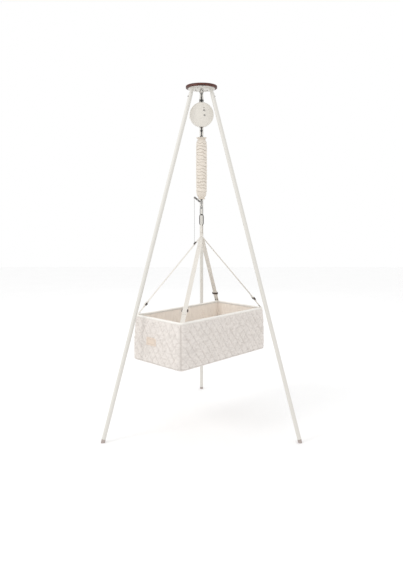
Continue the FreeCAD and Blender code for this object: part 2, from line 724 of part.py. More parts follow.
def make_pull_parts():
    """Pull strap looped round the bar of the lower snap hook, and that hook."""
    loop_inner = q.pull_hook_wire / 2 + 0.1
    loop_outer = loop_inner + q.strap_thickness
    bar = pull_bar - q.motor_level
    run = drum_y - bar
    tape = box(q.strap_thickness, run - loop_inner, q.strap_width,
               (0, bar + loop_inner + (run - loop_inner) / 2, 0))
    eye = cylinder(loop_outer, q.strap_width, (0, bar, -(q.strap_width / 2)))
    hole = cylinder(loop_inner, 40, (0, bar, -20))
    node(placed(cut(fused([tape, eye]), [hole]), MOTOR), "pull_strap")
    sideways = (AXIS * Placement(Vector(), Rotation(Vector(0, 0, 1), float(q.motor_turn) + 90)))
    half_bar = q.strap_width / 2 + 3
    eye_height = 8
    wire = q.pull_hook_wire / 2
    top_bar = cylinder(wire, half_bar * 2, (-half_bar, 0, pull_bar), Vector(1, 0, 0))
    low_bar = cylinder(wire, half_bar * 2, (-half_bar, 0, pull_bar - eye_height), Vector(1, 0, 0))
    posts = [cylinder(wire, eye_height, (side * half_bar, 0, pull_bar - eye_height))
             for side in (1, -1)]
    knuckles = [ball(wire, (side * half_bar, 0, pull_bar - drop))
                for side in (1, -1) for drop in (0, eye_height)]
    collar = turned("hook_collar", [(0, pull_bar - 18), (4.5, pull_bar - 18), (7, pull_bar - 9.5),
                                    (7, pull_bar - 8), (0, pull_bar - 8)])
    hook_bottom = pull_bar - 17 - q.pull_hook_height
    snap_hook("pull_hook", q.pull_hook_height, q.pull_hook_width, q.pull_hook_wire, hook_bottom,
              sideways, [top_bar, low_bar, *posts, *knuckles, collar])
    return hook_bottom


# ---------------------------------------------------------------- spring
def make_yoke(name, loop_level, coil_level, end_ball=False):
    """Wire end fitting of the spring: a coil ring with two arms to a loop or a ball."""
    wire = q.coil_wire
    arm_radius = wire * 0.45
    pieces = [ring(q.coil_radius, wire, (0, 0, coil_level))]
    if end_ball:
        ball_radius = 5
        knob = ball(ball_radius, (0, 0, loop_level))
        knob.Placement.Rotation = Rotation(Vector(1, 0, 0), 35)
        pieces.append(knob)
        joint_level = float(loop_level)
        joint_x = 1.5
    else:
        loop_radius = 6
        pieces.append(ring(loop_radius, wire, (0, 0, loop_level), Vector(0, 1, 0)))
        joint_level = float(loop_level) - 5
        joint_x = 3.4
    for side in (1, -1):
        coil_end = Vector(side * float(q.coil_radius), 0, float(coil_level))
        joint = Vector(side * joint_x, 0, joint_level)
        pieces.append(cylinder(arm_radius, (joint - coil_end).Length, tuple(coil_end),
                               joint - coil_end))
    node(placed(fused(pieces), AXIS), name)


def make_spring():
    """Open coil between the two yokes."""
    length = float(q.spring_top - q.spring_bottom) - float(q.coil_wire) - 0.6
    start = float(q.spring_bottom + q.coil_wire / 2) + 0.3 + float(q.coil_wire) / 2
    length -= float(q.coil_wire)
    turns = float(q.coil_turns)
    helix = Part.makeHelix(length / turns, length, float(q.coil_radius))
    circle = Part.Wire(Part.makeCircle(float(q.coil_wire) / 2, Vector(float(q.coil_radius), 0, 0),
                                       Vector(0, 1, 0)))
    item = helper("Part::Feature")
    item.Shape = Part.Wire(helix).makePipeShell([circle], True, True)
    item.Placement = AXIS * Placement(Vector(0, 0, start), Rotation())
    node(item, "spring")


def make_cover():
    """Gathered cotton sleeve round the spring, drawn in at both ends."""
    wall = q.cover_wall
    outer = q.cover_radius
    neck = of(14)
    shoulder = 16
    profile = [(neck - wall, q.cover_bottom), (neck, q.cover_bottom),
               (outer - 3, q.cover_bottom + shoulder), (outer, q.cover_bottom + 2 * shoulder),
               (outer, q.cover_top - shoulder - 6), (outer - 3, q.cover_top - 6),
               (neck + 6, q.cover_top), (neck + 3, q.cover_top),
               (outer - wall - 3, q.cover_top - 8), (outer - wall, q.cover_top - shoulder - 8),
               (outer - wall, q.cover_bottom + 2 * shoulder),
               (outer - wall - 3, q.cover_bottom + shoulder + 2)]
    node(placed(turned("cover_blank", profile), AXIS), "spring_cover")


def make_swivel():
    """Swivel head under the spring, its cord arm, and the stud with an eye that turns in it."""
    low = q.swivel_level
    gap = q.running_gap
    head_top = low + 17.5
    head = turned("head_blank", [(gap + 3, low), (q.swivel_radius, low), (q.swivel_radius, head_top),
                                 (0, head_top), (0, low + 12), (5, low + 12), (5, low + 6),
                                 (gap + 3, low + 6)])
    node(placed(head, AXIS), "swivel_head")
    eye_centre = low - 18
    stud = turned("stud_blank", [(0, eye_centre + 7), (3, eye_centre + 7), (3, low + 6.3),
                                 (4.6, low + 6.3), (4.6, low + 10), (0, low + 10)])
    eye = ring(7, 4.4, (0, 0, eye_centre), Vector(0, 1, 0))
    turn = Placement(Vector(), Rotation(Vector(0, 0, 1), float(q.carabiner_turn) + 90))
    node(placed(fused([stud, eye]), AXIS * turn), "swivel_stud")
    outer = Vector(-float(q.cord_reach), 0, float(q.cord_top) + 8)
    inner = Vector(-float(q.swivel_radius) - 2.8, 0, float(low) + 11)
    run = outer - inner
    bar = box(run.Length, 3, 9, (0, 0, 0))
    holes = [cylinder(2.6, 20, (share * run.Length, -10, 0), Vector(0, 1, 0))
             for share in (0.42, -0.12)]
    lean = math.degrees(math.atan2(run.z, -run.x))
    middle = Placement((outer + inner) * 0.5, Rotation(Vector(0, 1, 0), 180 + lean))
    ferrule = cylinder(2.4, 9, (-q.cord_reach, 0, q.cord_top + 0.2))
    node(fused([placed(cut(bar, holes), CORD * middle), placed(ferrule, CORD)]), "cord_arm")
    return eye_centre


# ---------------------------------------------------------------- carabiner, ring and webbing
def make_links(eye_centre):
    """Carabiner in the stud's eye and the oval ring that the webbing hangs from."""
    slack = 0.2
    eye_bottom = eye_centre - 7
    hook_top = eye_bottom + 2.2 + slack + q.carabiner_wire
    hook_bottom = hook_top - q.carabiner_height
    face_on = AXIS * Placement(Vector(), Rotation(Vector(0, 0, 1), float(q.carabiner_turn)))
    snap_hook("carabiner", q.carabiner_height, q.carabiner_width, q.carabiner_wire, hook_bottom,
              face_on, slack=0.25)
    ring_top = hook_bottom + q.carabiner_wire + slack + q.ring_wire
    ring_bottom = ring_top - q.ring_height
    crosswise = AXIS * Placement(Vector(), Rotation(Vector(0, 0, 1), float(q.carabiner_turn) - 90))
    link = fused(long_link(q.ring_height, q.ring_width, q.ring_wire, ring_bottom))
    node(placed(link, crosswise), "webbing_ring")
    loop_width = 16
    loop_top = ring_bottom + q.ring_wire + 5
    thickness = q.ring_wire + 1 + q.webbing_thickness * 2
    height = loop_top - (q.apex_level + 4)
    web = box(loop_width, thickness, height, (0, 0, loop_top - height / 2))
    window = box(40, q.ring_wire + 1, q.ring_wire + 3.8,
                 (0, 0, ring_bottom - 0.5 + (q.ring_wire + 3.8) / 2))
    loop = placed(cut(web, [window]), crosswise)
    crown = turned("crown_blank", [(0, q.apex_level - 27), (q.crown_radius - 0.5, q.apex_level - 27),
                                   (q.crown_radius - 2, q.apex_level - 22), (9, q.apex_level + 4),
                                   (0, q.apex_level + 4)])
    node(fused([loop, placed(crown, AXIS)]), "strap_loop")


basket_bottom = q.rim_level - q.basket_height


strap_apex = Vector(0, 0, float(q.apex_level))
strap_run = Vector(strap_reach, 0, float(q.rim_level) + 2.2) - strap_apex
strap_lean = math.degrees(math.atan2(strap_run.x, -strap_run.z))


def strap_line(azimuth):
    """At the straps' meeting point, with +Z down along one strap and -X on its upper side."""
    return CRADLE * Placement(Vector(), Rotation(Vector(0, 0, 1), azimuth)) * Placement(
        strap_apex, Rotation(Vector(0, 1, 0), 180 - strap_lean))


def make_straps():
    """Four webbing straps from the crown to the corners, each with a slider and a tab."""
    length = strap_run.Length
    thick = float(q.webbing_thickness)
    crown_share = float(q.crown_radius) / strap_run.x
    slider = length - float(q.buckle_height)
    overlap = 22
    tab_middle = thick + 0.2
    tab_inner = tab_middle + thick / 2
    tabs, sliders, snaps = [], [], []
    for name, azimuth in CORNERS.items():
        line = strap_line(azimuth)
        start = crown_share * length
        strap_length = slider + overlap - start
        strap = box(thick, q.webbing_width, strap_length, (0, 0, start + strap_length / 2))
        node(placed(strap, line), f"strap_{name}")
        tab_start = slider - overlap
        tab_length = length - tab_start
        tab = box(thick, q.webbing_width, tab_length, (tab_middle, 0, tab_start + tab_length / 2))
        tabs.append(placed(tab, line))
        frame = box(8.4, q.webbing_width + 9, 13, (tab_middle / 2, 0, slider))
        window = box(2 * thick + 1, q.webbing_width + 1, 20, (tab_middle / 2, 0, slider))
        sliders.append(placed(cut(frame, [window]), line))
        for side in (6.5, -6.5):
            snap = cylinder(3.4, 1.8, (tab_inner, side, length - 12), Vector(1, 0, 0))
            snaps.append(placed(snap, line))
    for items, name in ((tabs, "strap_tabs"), (sliders, "strap_sliders"), (snaps, "tab_snaps")):
        group = helper("Part::Compound")
        group.Links = items
        node(group, name)


def make_cord():
    """Thin safety line from the arm above the swivel to a clip on the left strap."""
    lean = math.radians(strap_lean)
    reach = float(q.cord_reach)
    clip_thickness, clip_length, clip_width = 5, 18, 14
    lift = float(q.webbing_thickness) / 2 + clip_thickness + float(q.cord_radius) + 0.3
    bottom = float(q.apex_level) - reach / math.tan(lean) + lift / math.sin(lean)
    line = cylinder(q.cord_radius, q.cord_top - bottom, (-q.cord_reach, 0, bottom))
    node(placed(line, CORD), "safety_cord")
    along = reach / math.sin(lean) - lift / math.tan(lean)
    clip = box(clip_thickness, clip_width, clip_length,
               (-(q.webbing_thickness + clip_thickness) / 2 - 0.05, 0, along))
    node(placed(clip, strap_line(CORNERS["left"])), "cord_clip")


# ---------------------------------------------------------------- bassinet
def flared(name, inset, low, high, rounding=None):
    """A solid with the bassinet's flared sides, moved in by inset, between two levels."""
    body = doc.addObject("PartDesign::Body", name)
    sketches = []
    sections = [(low, inset), (high, inset)]
    if rounding is not None:
        sections = [(high, inset)]
        for degrees in (0, 30, 60, 85):
            turn = math.radians(degrees)
            sections.insert(0, (low + rounding * (1 - math.sin(turn)),
                                inset + rounding * (1 - math.cos(turn))))
    for level, moved_in in sections:
        spread = q.basket_flare * (q.rim_level - level) / q.basket_height - moved_in
        sketch = new_sketch(body, "XY_Plane", level)
        draw_rounded(sketch, q.basket_length + spread * 2, q.basket_width + spread * 2,
                     q.corner_radius + spread)
        sketches.append(sketch)
    loft = body.newObject("PartDesign::AdditiveLoft", name + "_loft")
    loft.Profile = sketches[0]
    loft.Sections = sketches[1:]
    loft.Ruled = True
    doc.recompute()
    return body


def make_basket():
    """Quilted shell, base board, lining, mattress, rim wire, binding and label."""
    wall_top = q.rim_level - q.binding_skin - q.rim_wire - 0.2
    floor_top = basket_bottom + q.wall - 2
    outer = flared("shell_outer", of(0), basket_bottom, wall_top, q.bottom_round)
    inner = flared("shell_inner", q.wall, floor_top, wall_top + 1)
    node(placed(cut(outer, [inner]), CRADLE), "basket_shell")

    board_top = floor_top + q.board_thickness
    board = flared("board_blank", q.wall + 6, floor_top, board_top)
    node(placed(board, CRADLE), "base_board")

    lining_top = q.rim_level - q.binding_height - 1
    lining_outer = flared("lining_outer", q.wall + 0.3, board_top, lining_top)
    lining_inner = flared("lining_inner", q.wall + 0.3 + q.lining_thickness,
                          board_top + q.lining_thickness, lining_top + 1)
    node(placed(cut(lining_outer, [lining_inner]), CRADLE), "lining")

    mattress_bottom = board_top + q.lining_thickness
    inset = q.wall + q.lining_thickness - 3
    mattress = padded("mattress_blank", [(q.basket_length - inset * 2, q.basket_width - inset * 2,
                                          q.mattress_corner)], q.mattress_thickness,
                      mattress_bottom)
    rounded_edges(mattress, 12, lambda edge: edge.BoundBox.ZLength < 1e-4)
    node(placed(mattress, CRADLE), "mattress")

    middle = -(q.wall / 2)
    wire_level = wall_top + q.rim_wire / 2 + 0.05
    half_wire = q.rim_wire / 2
    wire_loops = [(q.basket_length + (middle + half_wire) * 2, q.basket_width + (middle + half_wire) * 2,
                   q.corner_radius + middle + half_wire),
                  (q.basket_length + (middle - half_wire) * 2, q.basket_width + (middle - half_wire) * 2,
                   q.corner_radius + middle - half_wire)]
    wire = padded("wire_blank", wire_loops, q.rim_wire, wire_level - half_wire)
    rounded_edges(wire, half_wire * 0.9, lambda edge: edge.BoundBox.ZLength < 1e-4)
    node(placed(wire, CRADLE), "rim_wire")

    reach = q.binding_skin + 1
    deep = -(q.wall + reach)
    low = q.rim_level - q.binding_height
    skin_loops = [(q.basket_length + reach * 2, q.basket_width + reach * 2, q.corner_radius + reach),
                  (q.basket_length + deep * 2, q.basket_width + deep * 2, q.corner_radius + deep)]
    skin = padded("binding_blank", skin_loops, q.binding_height, low)
    rounded_edges(skin, 4, flat_edge_at(q.rim_level))
    space = reach - q.binding_skin
    hollow_in = -(q.wall + space)
    hollow_loops = [(q.basket_length + space * 2, q.basket_width + space * 2, q.corner_radius + space),
                    (q.basket_length + hollow_in * 2, q.basket_width + hollow_in * 2,
                     q.corner_radius + hollow_in)]
    hollow = padded("binding_hollow", hollow_loops, q.binding_height, low - q.binding_skin)
    node(placed(cut(skin, [hollow]), CRADLE), "rim_binding")

    label_width, label_height, label_skin = 76, 43, 1.2
    label_middle = 532
    fall = math.degrees(math.atan2(float(q.basket_flare), float(q.basket_height)))
    spread = float(q.basket_flare) * (float(q.rim_level) - label_middle) / float(q.basket_height)
    label = box(label_skin, label_width, label_height, (0, 0, 0))
    where = Vector(-float(q.basket_length) / 2 - spread - label_skin / 2 - 0.05, 34, label_middle)
    node(placed(label, CRADLE * Placement(where, Rotation(Vector(0, 1, 0), fall))), "label_patch")


# ---------------------------------------------------------------- build everything
make_disc()
make_hub()
make_hub_screws()
make_legs()
make_eye()
make_top_hook()
make_shells()
make_shell_screws()
make_chassis()
make_gears()
make_drive_motor()
make_front_parts()
make_exit()
pull_hook_bottom = make_pull_parts()
make_yoke("spring_top_yoke", pull_hook_bottom + q.pull_hook_wire + q.coil_wire / 2 + 0.2 - 6, q.spring_top)
make_spring()
make_cover()
make_yoke("spring_bottom_yoke", q.swivel_level + 22.5, q.spring_bottom, end_ball=True)
stud_eye = make_swivel()
make_links(stud_eye)
make_straps()
make_cord()
make_basket()
doc.recompute()

broken = [item.Name for item in doc.Objects if "Invalid" in item.State or "Error" in item.State]
assert not broken, f"failed objects: {broken}"
os.makedirs("parts", exist_ok=True)
for item in nodes:
    assert not item.Shape.isNull() and item.Shape.isValid(), f"bad shape: {item.Label}"
    item.Shape.exportStep(f"parts/{item.Label}.step")
print(len(nodes), "sub-parts")
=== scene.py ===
"""Looks for a bassinet that hangs from a tripod stand.

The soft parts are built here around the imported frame: the quilted shell, its lining,
mattress and rim tape, the webbing, the gathered spring cover and the safety line.
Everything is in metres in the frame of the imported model.
"""
import json
import math

import bpy
import numpy as np
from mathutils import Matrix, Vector


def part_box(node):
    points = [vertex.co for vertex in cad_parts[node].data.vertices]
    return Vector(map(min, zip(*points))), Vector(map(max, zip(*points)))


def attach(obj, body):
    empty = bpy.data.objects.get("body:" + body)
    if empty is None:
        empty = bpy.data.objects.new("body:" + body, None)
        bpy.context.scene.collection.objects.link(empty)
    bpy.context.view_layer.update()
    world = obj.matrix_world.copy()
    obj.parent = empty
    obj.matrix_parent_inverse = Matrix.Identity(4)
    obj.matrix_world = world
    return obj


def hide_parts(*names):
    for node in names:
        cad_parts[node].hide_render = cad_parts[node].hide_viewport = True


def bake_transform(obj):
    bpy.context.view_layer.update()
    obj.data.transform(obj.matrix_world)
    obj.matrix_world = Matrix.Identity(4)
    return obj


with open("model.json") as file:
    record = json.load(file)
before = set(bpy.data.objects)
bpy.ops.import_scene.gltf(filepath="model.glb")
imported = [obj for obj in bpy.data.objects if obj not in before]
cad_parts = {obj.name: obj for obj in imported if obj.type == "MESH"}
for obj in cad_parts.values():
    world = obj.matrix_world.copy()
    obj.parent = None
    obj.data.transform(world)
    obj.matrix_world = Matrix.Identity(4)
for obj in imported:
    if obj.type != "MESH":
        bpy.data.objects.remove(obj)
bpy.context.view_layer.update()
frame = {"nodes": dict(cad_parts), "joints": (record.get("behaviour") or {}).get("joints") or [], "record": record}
nodes = frame["nodes"]
record = frame["record"]
joints = {joint["name"]: joint for joint in frame["joints"]}
MM = 0.001
UP = np.array([0.0, 0.0, 1.0])


# ---- the bassinet's own axes
AXIS = np.array([*joints["swivel_turn"]["pos_m"][:2], 0.0])
openings = {item["name"]: np.array(item["box_m"]) for item in record["physics"]["openings"]}
long_way = (openings["cabin_head"] - openings["cabin_foot"]).mean(0)
turn = math.atan2(long_way[1], long_way[0])
AROUND = np.array([[math.cos(turn), -math.sin(turn), 0],
                   [math.sin(turn), math.cos(turn), 0], [0, 0, 1]])


def turned(points):
    """Points in the bassinet's own axes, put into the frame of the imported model."""
    return np.asarray(points) @ AROUND.T + AXIS


def node_points(name):
    """A node's vertices."""
    return np.array([vertex.co for vertex in nodes[name].data.vertices], float)


def local_points(name):
    """A node's vertices in the bassinet's own axes."""
    return (node_points(name) - AXIS) @ AROUND


def local_size(name):
    """The lowest and highest corners of a node in the bassinet's own axes."""
    points = local_points(name)
    return points.min(0), points.max(0)


# ---- noise and meshes
def lattice(cells):
    """A fixed pseudo-random number in -1..1 for each whole-number cell."""
    mixed = (cells[..., 0] * 73856093) ^ (cells[..., 1] * 19349663) ^ (cells[..., 2] * 83492791)
    mixed = ((mixed ^ (mixed >> 13)) * 1274126177) & 0x7FFFFFFF
    return ((mixed >> 7) & 0xFFFF) / 32767.5 - 1


def noise(points, cell, seed=0):
    """Smooth noise in -1..1 with features of about the size of a cell."""
    scaled = np.asarray(points, float) / cell + 137.0 + 31.7 * seed
    base = np.floor(scaled).astype(np.int64)
    share = scaled - base
    share = share * share * (3 - 2 * share)
    total = 0
    for corner in range(8):
        offset = np.array([(corner >> bit) & 1 for bit in range(3)])
        weight = np.prod(np.where(offset, share, 1 - share), axis=-1)
        total = total + weight * lattice(base + offset)
    return total


def smooth(value, low, high):
    """0 below low, 1 above high and a soft step between."""
    share = np.clip((np.asarray(value, float) - low) / (high - low), 0, 1)
    return share * share * (3 - 2 * share)


def bell(distance, width):
    """1 at no distance, falling off softly over a width."""
    return np.exp(-(distance / width) ** 2)


def new_object(name, points, faces, crease_shades=None):
    """A smooth-shaded mesh object; painted crease shade goes in an attribute that materials read."""
    mesh = bpy.data.meshes.new(name)
    mesh.from_pydata(np.asarray(points, float).tolist(), [], [list(face) for face in faces])
    mesh.polygons.foreach_set("use_smooth", np.ones(len(mesh.polygons), bool))
    if crease_shades is not None:
        attribute = mesh.attributes.new("crease_shade", "FLOAT", "POINT")
        attribute.data.foreach_set("value", np.asarray(crease_shades, np.float32).ravel())
    mesh.update()
    item = bpy.data.objects.new(name, mesh)
    bpy.context.scene.collection.objects.link(item)
    return item


def grid_faces(rows, columns, round_columns=True, round_rows=False, start=0, caps=True):
    """Quads over a grid of points; open rows of a round grid are closed with caps."""
    row_count = rows if round_rows else rows - 1
    column_count = columns if round_columns else columns - 1
    row, column = np.meshgrid(np.arange(row_count), np.arange(column_count), indexing="ij")
    below, after = (row + 1) % rows, (column + 1) % columns
    quads = np.stack([row * columns + column, row * columns + after,
                      below * columns + after, below * columns + column], -1)
    faces = (quads.reshape(-1, 4) + start).tolist()
    if caps and round_columns and not round_rows:
        faces.append([start + index for index in reversed(range(columns))])
        faces.append([start + (rows - 1) * columns + index for index in range(columns)])
    return faces


def outline(length, width, radius, step):
    """A rounded rectangle as points, outward directions and arc length, anticlockwise."""
    half_x, half_y = length / 2 - radius, width / 2 - radius
    arc = math.pi * radius / 2
    runs = [2 * half_y, arc, 2 * half_x, arc, 2 * half_y, arc, 2 * half_x, arc]
    ends = np.concatenate([[0], np.cumsum(runs)])
    count = int(round(ends[-1] / step / 8) * 8)
    along = np.arange(count) * ends[-1] / count
    points, outward = np.zeros((count, 2)), np.zeros((count, 2))
    centres = [(half_x, half_y), (-half_x, half_y), (-half_x, -half_y), (half_x, -half_y)]
    for index, place in enumerate(along):
        run = min(int(np.searchsorted(ends, place, side="right")) - 1, 7)
        done = place - ends[run]
        side = run // 2
        turn = side * math.pi / 2
        facing = np.array([math.cos(turn), math.sin(turn)])
        sideways = np.array([-facing[1], facing[0]])
        if run % 2 == 0:
            start = np.array(centres[side - 1]) + facing * radius
            points[index], outward[index] = start + sideways * done, facing
        else:
            angle = turn + done / radius
            outward[index] = [math.cos(angle), math.sin(angle)]
            points[index] = np.array(centres[side]) + outward[index] * radius
    corners = ends[1:8:2] + arc / 2
    return points, outward, along, ends[-1], corners


def at_level(ring, level):
    """Flat points lifted to one level, or each to its own."""
    return np.column_stack([ring, np.full(len(ring), level)])


def even_turns(count):
    """Angles at even steps round a full turn."""
    return np.linspace(0, 2 * math.pi, count, endpoint=False)


def swept(path, across, upward, section):
    """Points of a section, in (across, upward) pairs, carried along a path."""
    path = np.asarray(path)
    return (path[:, None, :] + section[..., 0:1] * across[:, None, :]
            + section[..., 1:2] * upward[:, None, :])


def frames_along(path, reference):
    """Unit tangents, across directions nearest to a reference, and normals of a path."""
    path = np.asarray(path, float)
    tangent = np.gradient(path, axis=0)
    tangent /= np.linalg.norm(tangent, axis=1)[:, None]
    reference = np.broadcast_to(np.asarray(reference, float), path.shape)
    across = reference - (reference * tangent).sum(1)[:, None] * tangent
    across /= np.linalg.norm(across, axis=1)[:, None]
    return tangent, across, np.cross(tangent, across)


def resampled(path, step):
    """A path through the given points at even steps."""
    path = np.asarray(path, float)
    lengths = np.concatenate([[0], np.cumsum(np.linalg.norm(np.diff(path, axis=0), axis=1))])
    count = max(int(round(lengths[-1] / step)), 4) + 1
    places = np.linspace(0, lengths[-1], count)
    return np.stack([np.interp(places, lengths, path[:, axis]) for axis in range(3)], -1), places


def rounded_path(points, radius, pieces=8):
    """Straight runs through points, with the corners replaced by smooth curves."""
    points = [np.asarray(point, float) for point in points]
    made = [points[0]]
    for before, corner, after in zip(points, points[1:], points[2:]):
        first, second = np.linalg.norm(before - corner), np.linalg.norm(after - corner)
        reach = min(radius, first / 2, second / 2)
        start = corner + (before - corner) / first * reach
        end = corner + (after - corner) / second * reach
        for share in np.linspace(0, 1, pieces):
            made.append((1 - share) ** 2 * start + 2 * share * (1 - share) * corner
                        + share ** 2 * end)
    made.append(points[-1])
    return made


def joined(name, parts):
    """One mesh object from several (points, faces, painted crease shade) parts."""
    points, faces, crease_shades, start = [], [], [], 0
    for part_points, part_faces, part_crease_shades in parts:
        points.append(np.asarray(part_points).reshape(-1, 3))
        faces += [[index + start for index in face] for face in part_faces]
        crease_shades.append(np.broadcast_to(part_crease_shades, len(points[-1])))
        start += len(points[-1])
    return new_object(name, np.concatenate(points), faces, np.concatenate(crease_shades))


def stitches(path, normal, step, length, thread):
    """Short raised threads along a path, as parts for joined()."""
    spots, places = resampled(path, step)
    normals = np.stack([np.interp(places, np.linspace(0, places[-1], len(normal)), normal[:, axis])
                        for axis in range(3)], -1)
    tangent, across, upward = frames_along(spots, np.cross(np.gradient(spots, axis=0), normals))
    rings, sides = 5, 6
    parts = []
    ring = even_turns(sides)
    for spot, forward, side, up in zip(spots, tangent, across, upward):
        if np.dot(up, normals[0]) < 0 and len(normal) == 2:
            up = -up
        rows = []
        for share in np.linspace(-1, 1, rings):
            swell = thread / 2 * math.sqrt(max(1 - share ** 2, 0.05))
            middle = spot + forward * share * length / 2 + up * (swell * 0.35)
            rows.append(middle + swell * (np.cos(ring)[:, None] * side
                                          + np.sin(ring)[:, None] * up))
        parts.append((np.array(rows), grid_faces(rings, sides), 0.0))
    return parts


# ---- materials
class Paint:
    """A small builder for node materials."""

    def __init__(self, name):
        self.material = bpy.data.materials.new(name)
        self.material.use_nodes = True
        self.tree = self.material.node_tree
        self.shader = self.tree.nodes["Principled BSDF"]
        self.place = self.add("ShaderNodeTexCoord").outputs["Object"]

    def add(self, kind, **values):
        made = self.tree.nodes.new(kind)
        for key, value in values.items():
            setattr(made, key, value)
        return made

    def feed(self, socket, value):
        """Link a node's output to a socket, or set a number or a colour on it."""
        if isinstance(value, bpy.types.NodeSocket):
            self.tree.links.new(value, socket)
        elif isinstance(value, tuple):
            socket.default_value = (*value, 1)
        else:
            socket.default_value = value

    def scaled(self, factors, turn=(0, 0, 0)):
        mapping = self.add("ShaderNodeMapping")
        self.feed(mapping.inputs["Vector"], self.place)
        mapping.inputs["Scale"].default_value = factors
        mapping.inputs["Rotation"].default_value = turn
        return mapping.outputs["Vector"]

    def noise(self, size, detail=3.0, roughness=0.55, stretch=(1, 1, 1), turn=(0, 0, 0)):
        """Noise with features of about size metres, from 0 to 1."""
        made = self.add("ShaderNodeTexNoise")
        self.feed(made.inputs["Vector"], self.scaled(stretch, turn))
        made.inputs["Scale"].default_value = 1 / size
        made.inputs["Detail"].default_value = detail
        made.inputs["Roughness"].default_value = roughness
        return made.outputs["Fac"]

    def wave(self, period, direction, distortion, turn=(0, 0, 0), **kind):
        """Straight bands, or rings, one period apart, from 0 to 1."""
        made = self.add("ShaderNodeTexWave", bands_direction=direction, **kind)
        self.feed(made.inputs["Vector"], self.scaled((1, 1, 1), turn))
        made.inputs["Scale"].default_value = math.pi / 10 / period
        made.inputs["Distortion"].default_value = distortion
        made.inputs["Detail"].default_value = 2.0
        made.inputs["Detail Scale"].default_value = 1.5
        return made.outputs["Fac"]

    def math(self, operation, first, second):
        made = self.add("ShaderNodeMath", operation=operation)
        self.feed(made.inputs[0], first)
        self.feed(made.inputs[1], second)
        return made.outputs[0]

    def weighted(self, first, first_share, second, second_share):
        return self.math("ADD", self.math("MULTIPLY", first, first_share),
                         self.math("MULTIPLY", second, second_share))

    def span(self, value, low, high, from_low=0.0, from_high=1.0):
        made = self.add("ShaderNodeMapRange")
        self.feed(made.inputs["Value"], value)
        for name, number in (("From Min", from_low), ("From Max", from_high),
                             ("To Min", low), ("To Max", high)):
            made.inputs[name].default_value = number
        return made.outputs["Result"]

    def mix(self, share, first, second):
        made = self.add("ShaderNodeMix", data_type="RGBA")
        self.feed(made.inputs["Factor"], share)
        self.feed(made.inputs["A"], first)
        self.feed(made.inputs["B"], second)
        return made.outputs["Result"]

    def attribute(self, name):
        return self.add("ShaderNodeAttribute", attribute_name=name).outputs["Fac"]

    def bump(self, height, distance, strength):
        made = self.add("ShaderNodeBump")
        made.inputs["Strength"].default_value = strength
        made.inputs["Distance"].default_value = distance
        self.feed(made.inputs["Height"], height)
        return made.outputs["Normal"]

    def done(self, color, roughness, normal=None, **fixed):
        """Feed the shader; the named inputs get one value all over."""
        self.feed(self.shader.inputs["Base Color"], color)
        self.feed(self.shader.inputs["Roughness"], roughness)
        if normal is not None:
            self.feed(self.shader.inputs["Normal"], normal)
        for name, value in fixed.items():
            self.shader.inputs[name].default_value = value
        return self.material


def tinted(color, factor):
    return tuple(channel * factor for channel in color)


def cloth(name, color, thread, weave=0.12 * MM, shade=0.80, chevron=False):
    """Woven fabric: crossed threads, slubs, uneven dye, and painted shade between the threads and in the creases.
    """
    warmth, crease_shade_warmth = (1.0, 0.985, 0.96), (1.0, 0.93, 0.86)
    paint = Paint(name)
    patches = paint.noise(0.06, 3.0)
    slubs = paint.noise(0.004, 2.0, 0.6, (1, 1, 0.12))
    cross_slubs = paint.noise(0.004, 2.0, 0.6, (0.12, 0.12, 1))
    threads = [paint.wave(thread, direction, 0.6) for direction in "ZXY"]
    woven = paint.math("MAXIMUM", threads[0], paint.math("MULTIPLY", threads[1], threads[2]))
    if chevron:
        woven = paint.math("MAXIMUM", woven, paint.wave(thread * 1.6, "DIAGONAL", 0.3))
    fuzz = paint.noise(0.0012, 2.0, 0.7)
    dark, light = tinted(color, 0.93), tinted(color, 1.03)
    tone = paint.mix(patches, dark, light)
    tone = paint.mix(paint.span(slubs, 0.0, 0.35, 0.45, 0.75), tone,
                     tuple(a * b for a, b in zip(color, warmth)))
    tone = paint.mix(paint.span(cross_slubs, 0.0, 0.22, 0.5, 0.8), tone, tinted(color, 0.88))
    # faint painted shade in the gaps between the threads
    tone = paint.mix(paint.span(woven, 0.10, 0.0), tone, tinted(color, 0.80))
    # painted shade: the creases, folds and grooves marked on the mesh turn a darker, warmer colour
    tone = paint.mix(paint.span(paint.attribute("crease_shade"), 0.0, 1 - shade), tone,
                     tuple(a * b for a, b in zip(tinted(color, 0.42), crease_shade_warmth)))
    normal = paint.bump(paint.weighted(woven, 0.6, fuzz, 0.4), weave, 0.7)
    return paint.done(tone, paint.span(fuzz, 0.86, 0.97), normal,
                      **{"Sheen Weight": 0.25, "Sheen Roughness": 0.5,
                         "Specular IOR Level": 0.25})


def painted_metal(name, color, rough=0.42, coat=0.15, wear=(0.5, 0.48, 0.45)):
    """Powder coat with a fine orange peel, faint handling marks and small rubbed spots."""
    paint = Paint(name)
    peel = paint.noise(0.0011, 1.5, 0.5)
    marks = paint.noise(0.05, 5.0, 0.65, (1, 1, 0.3))
    specks = paint.noise(0.0022, 1.0, 0.4)
    tone = paint.mix(marks, tinted(color, 0.965), tinted(color, 1.02))
    tone = paint.mix(paint.span(specks, 0.0, 0.6, 0.73, 0.80), tone, wear)
    normal = paint.bump(peel, 0.03 * MM, 0.6)
    return paint.done(tone, paint.span(marks, rough - 0.06, rough + 0.08, 0.3, 0.7), normal,
                      **{"Coat Weight": coat, "Coat Roughness": 0.25})


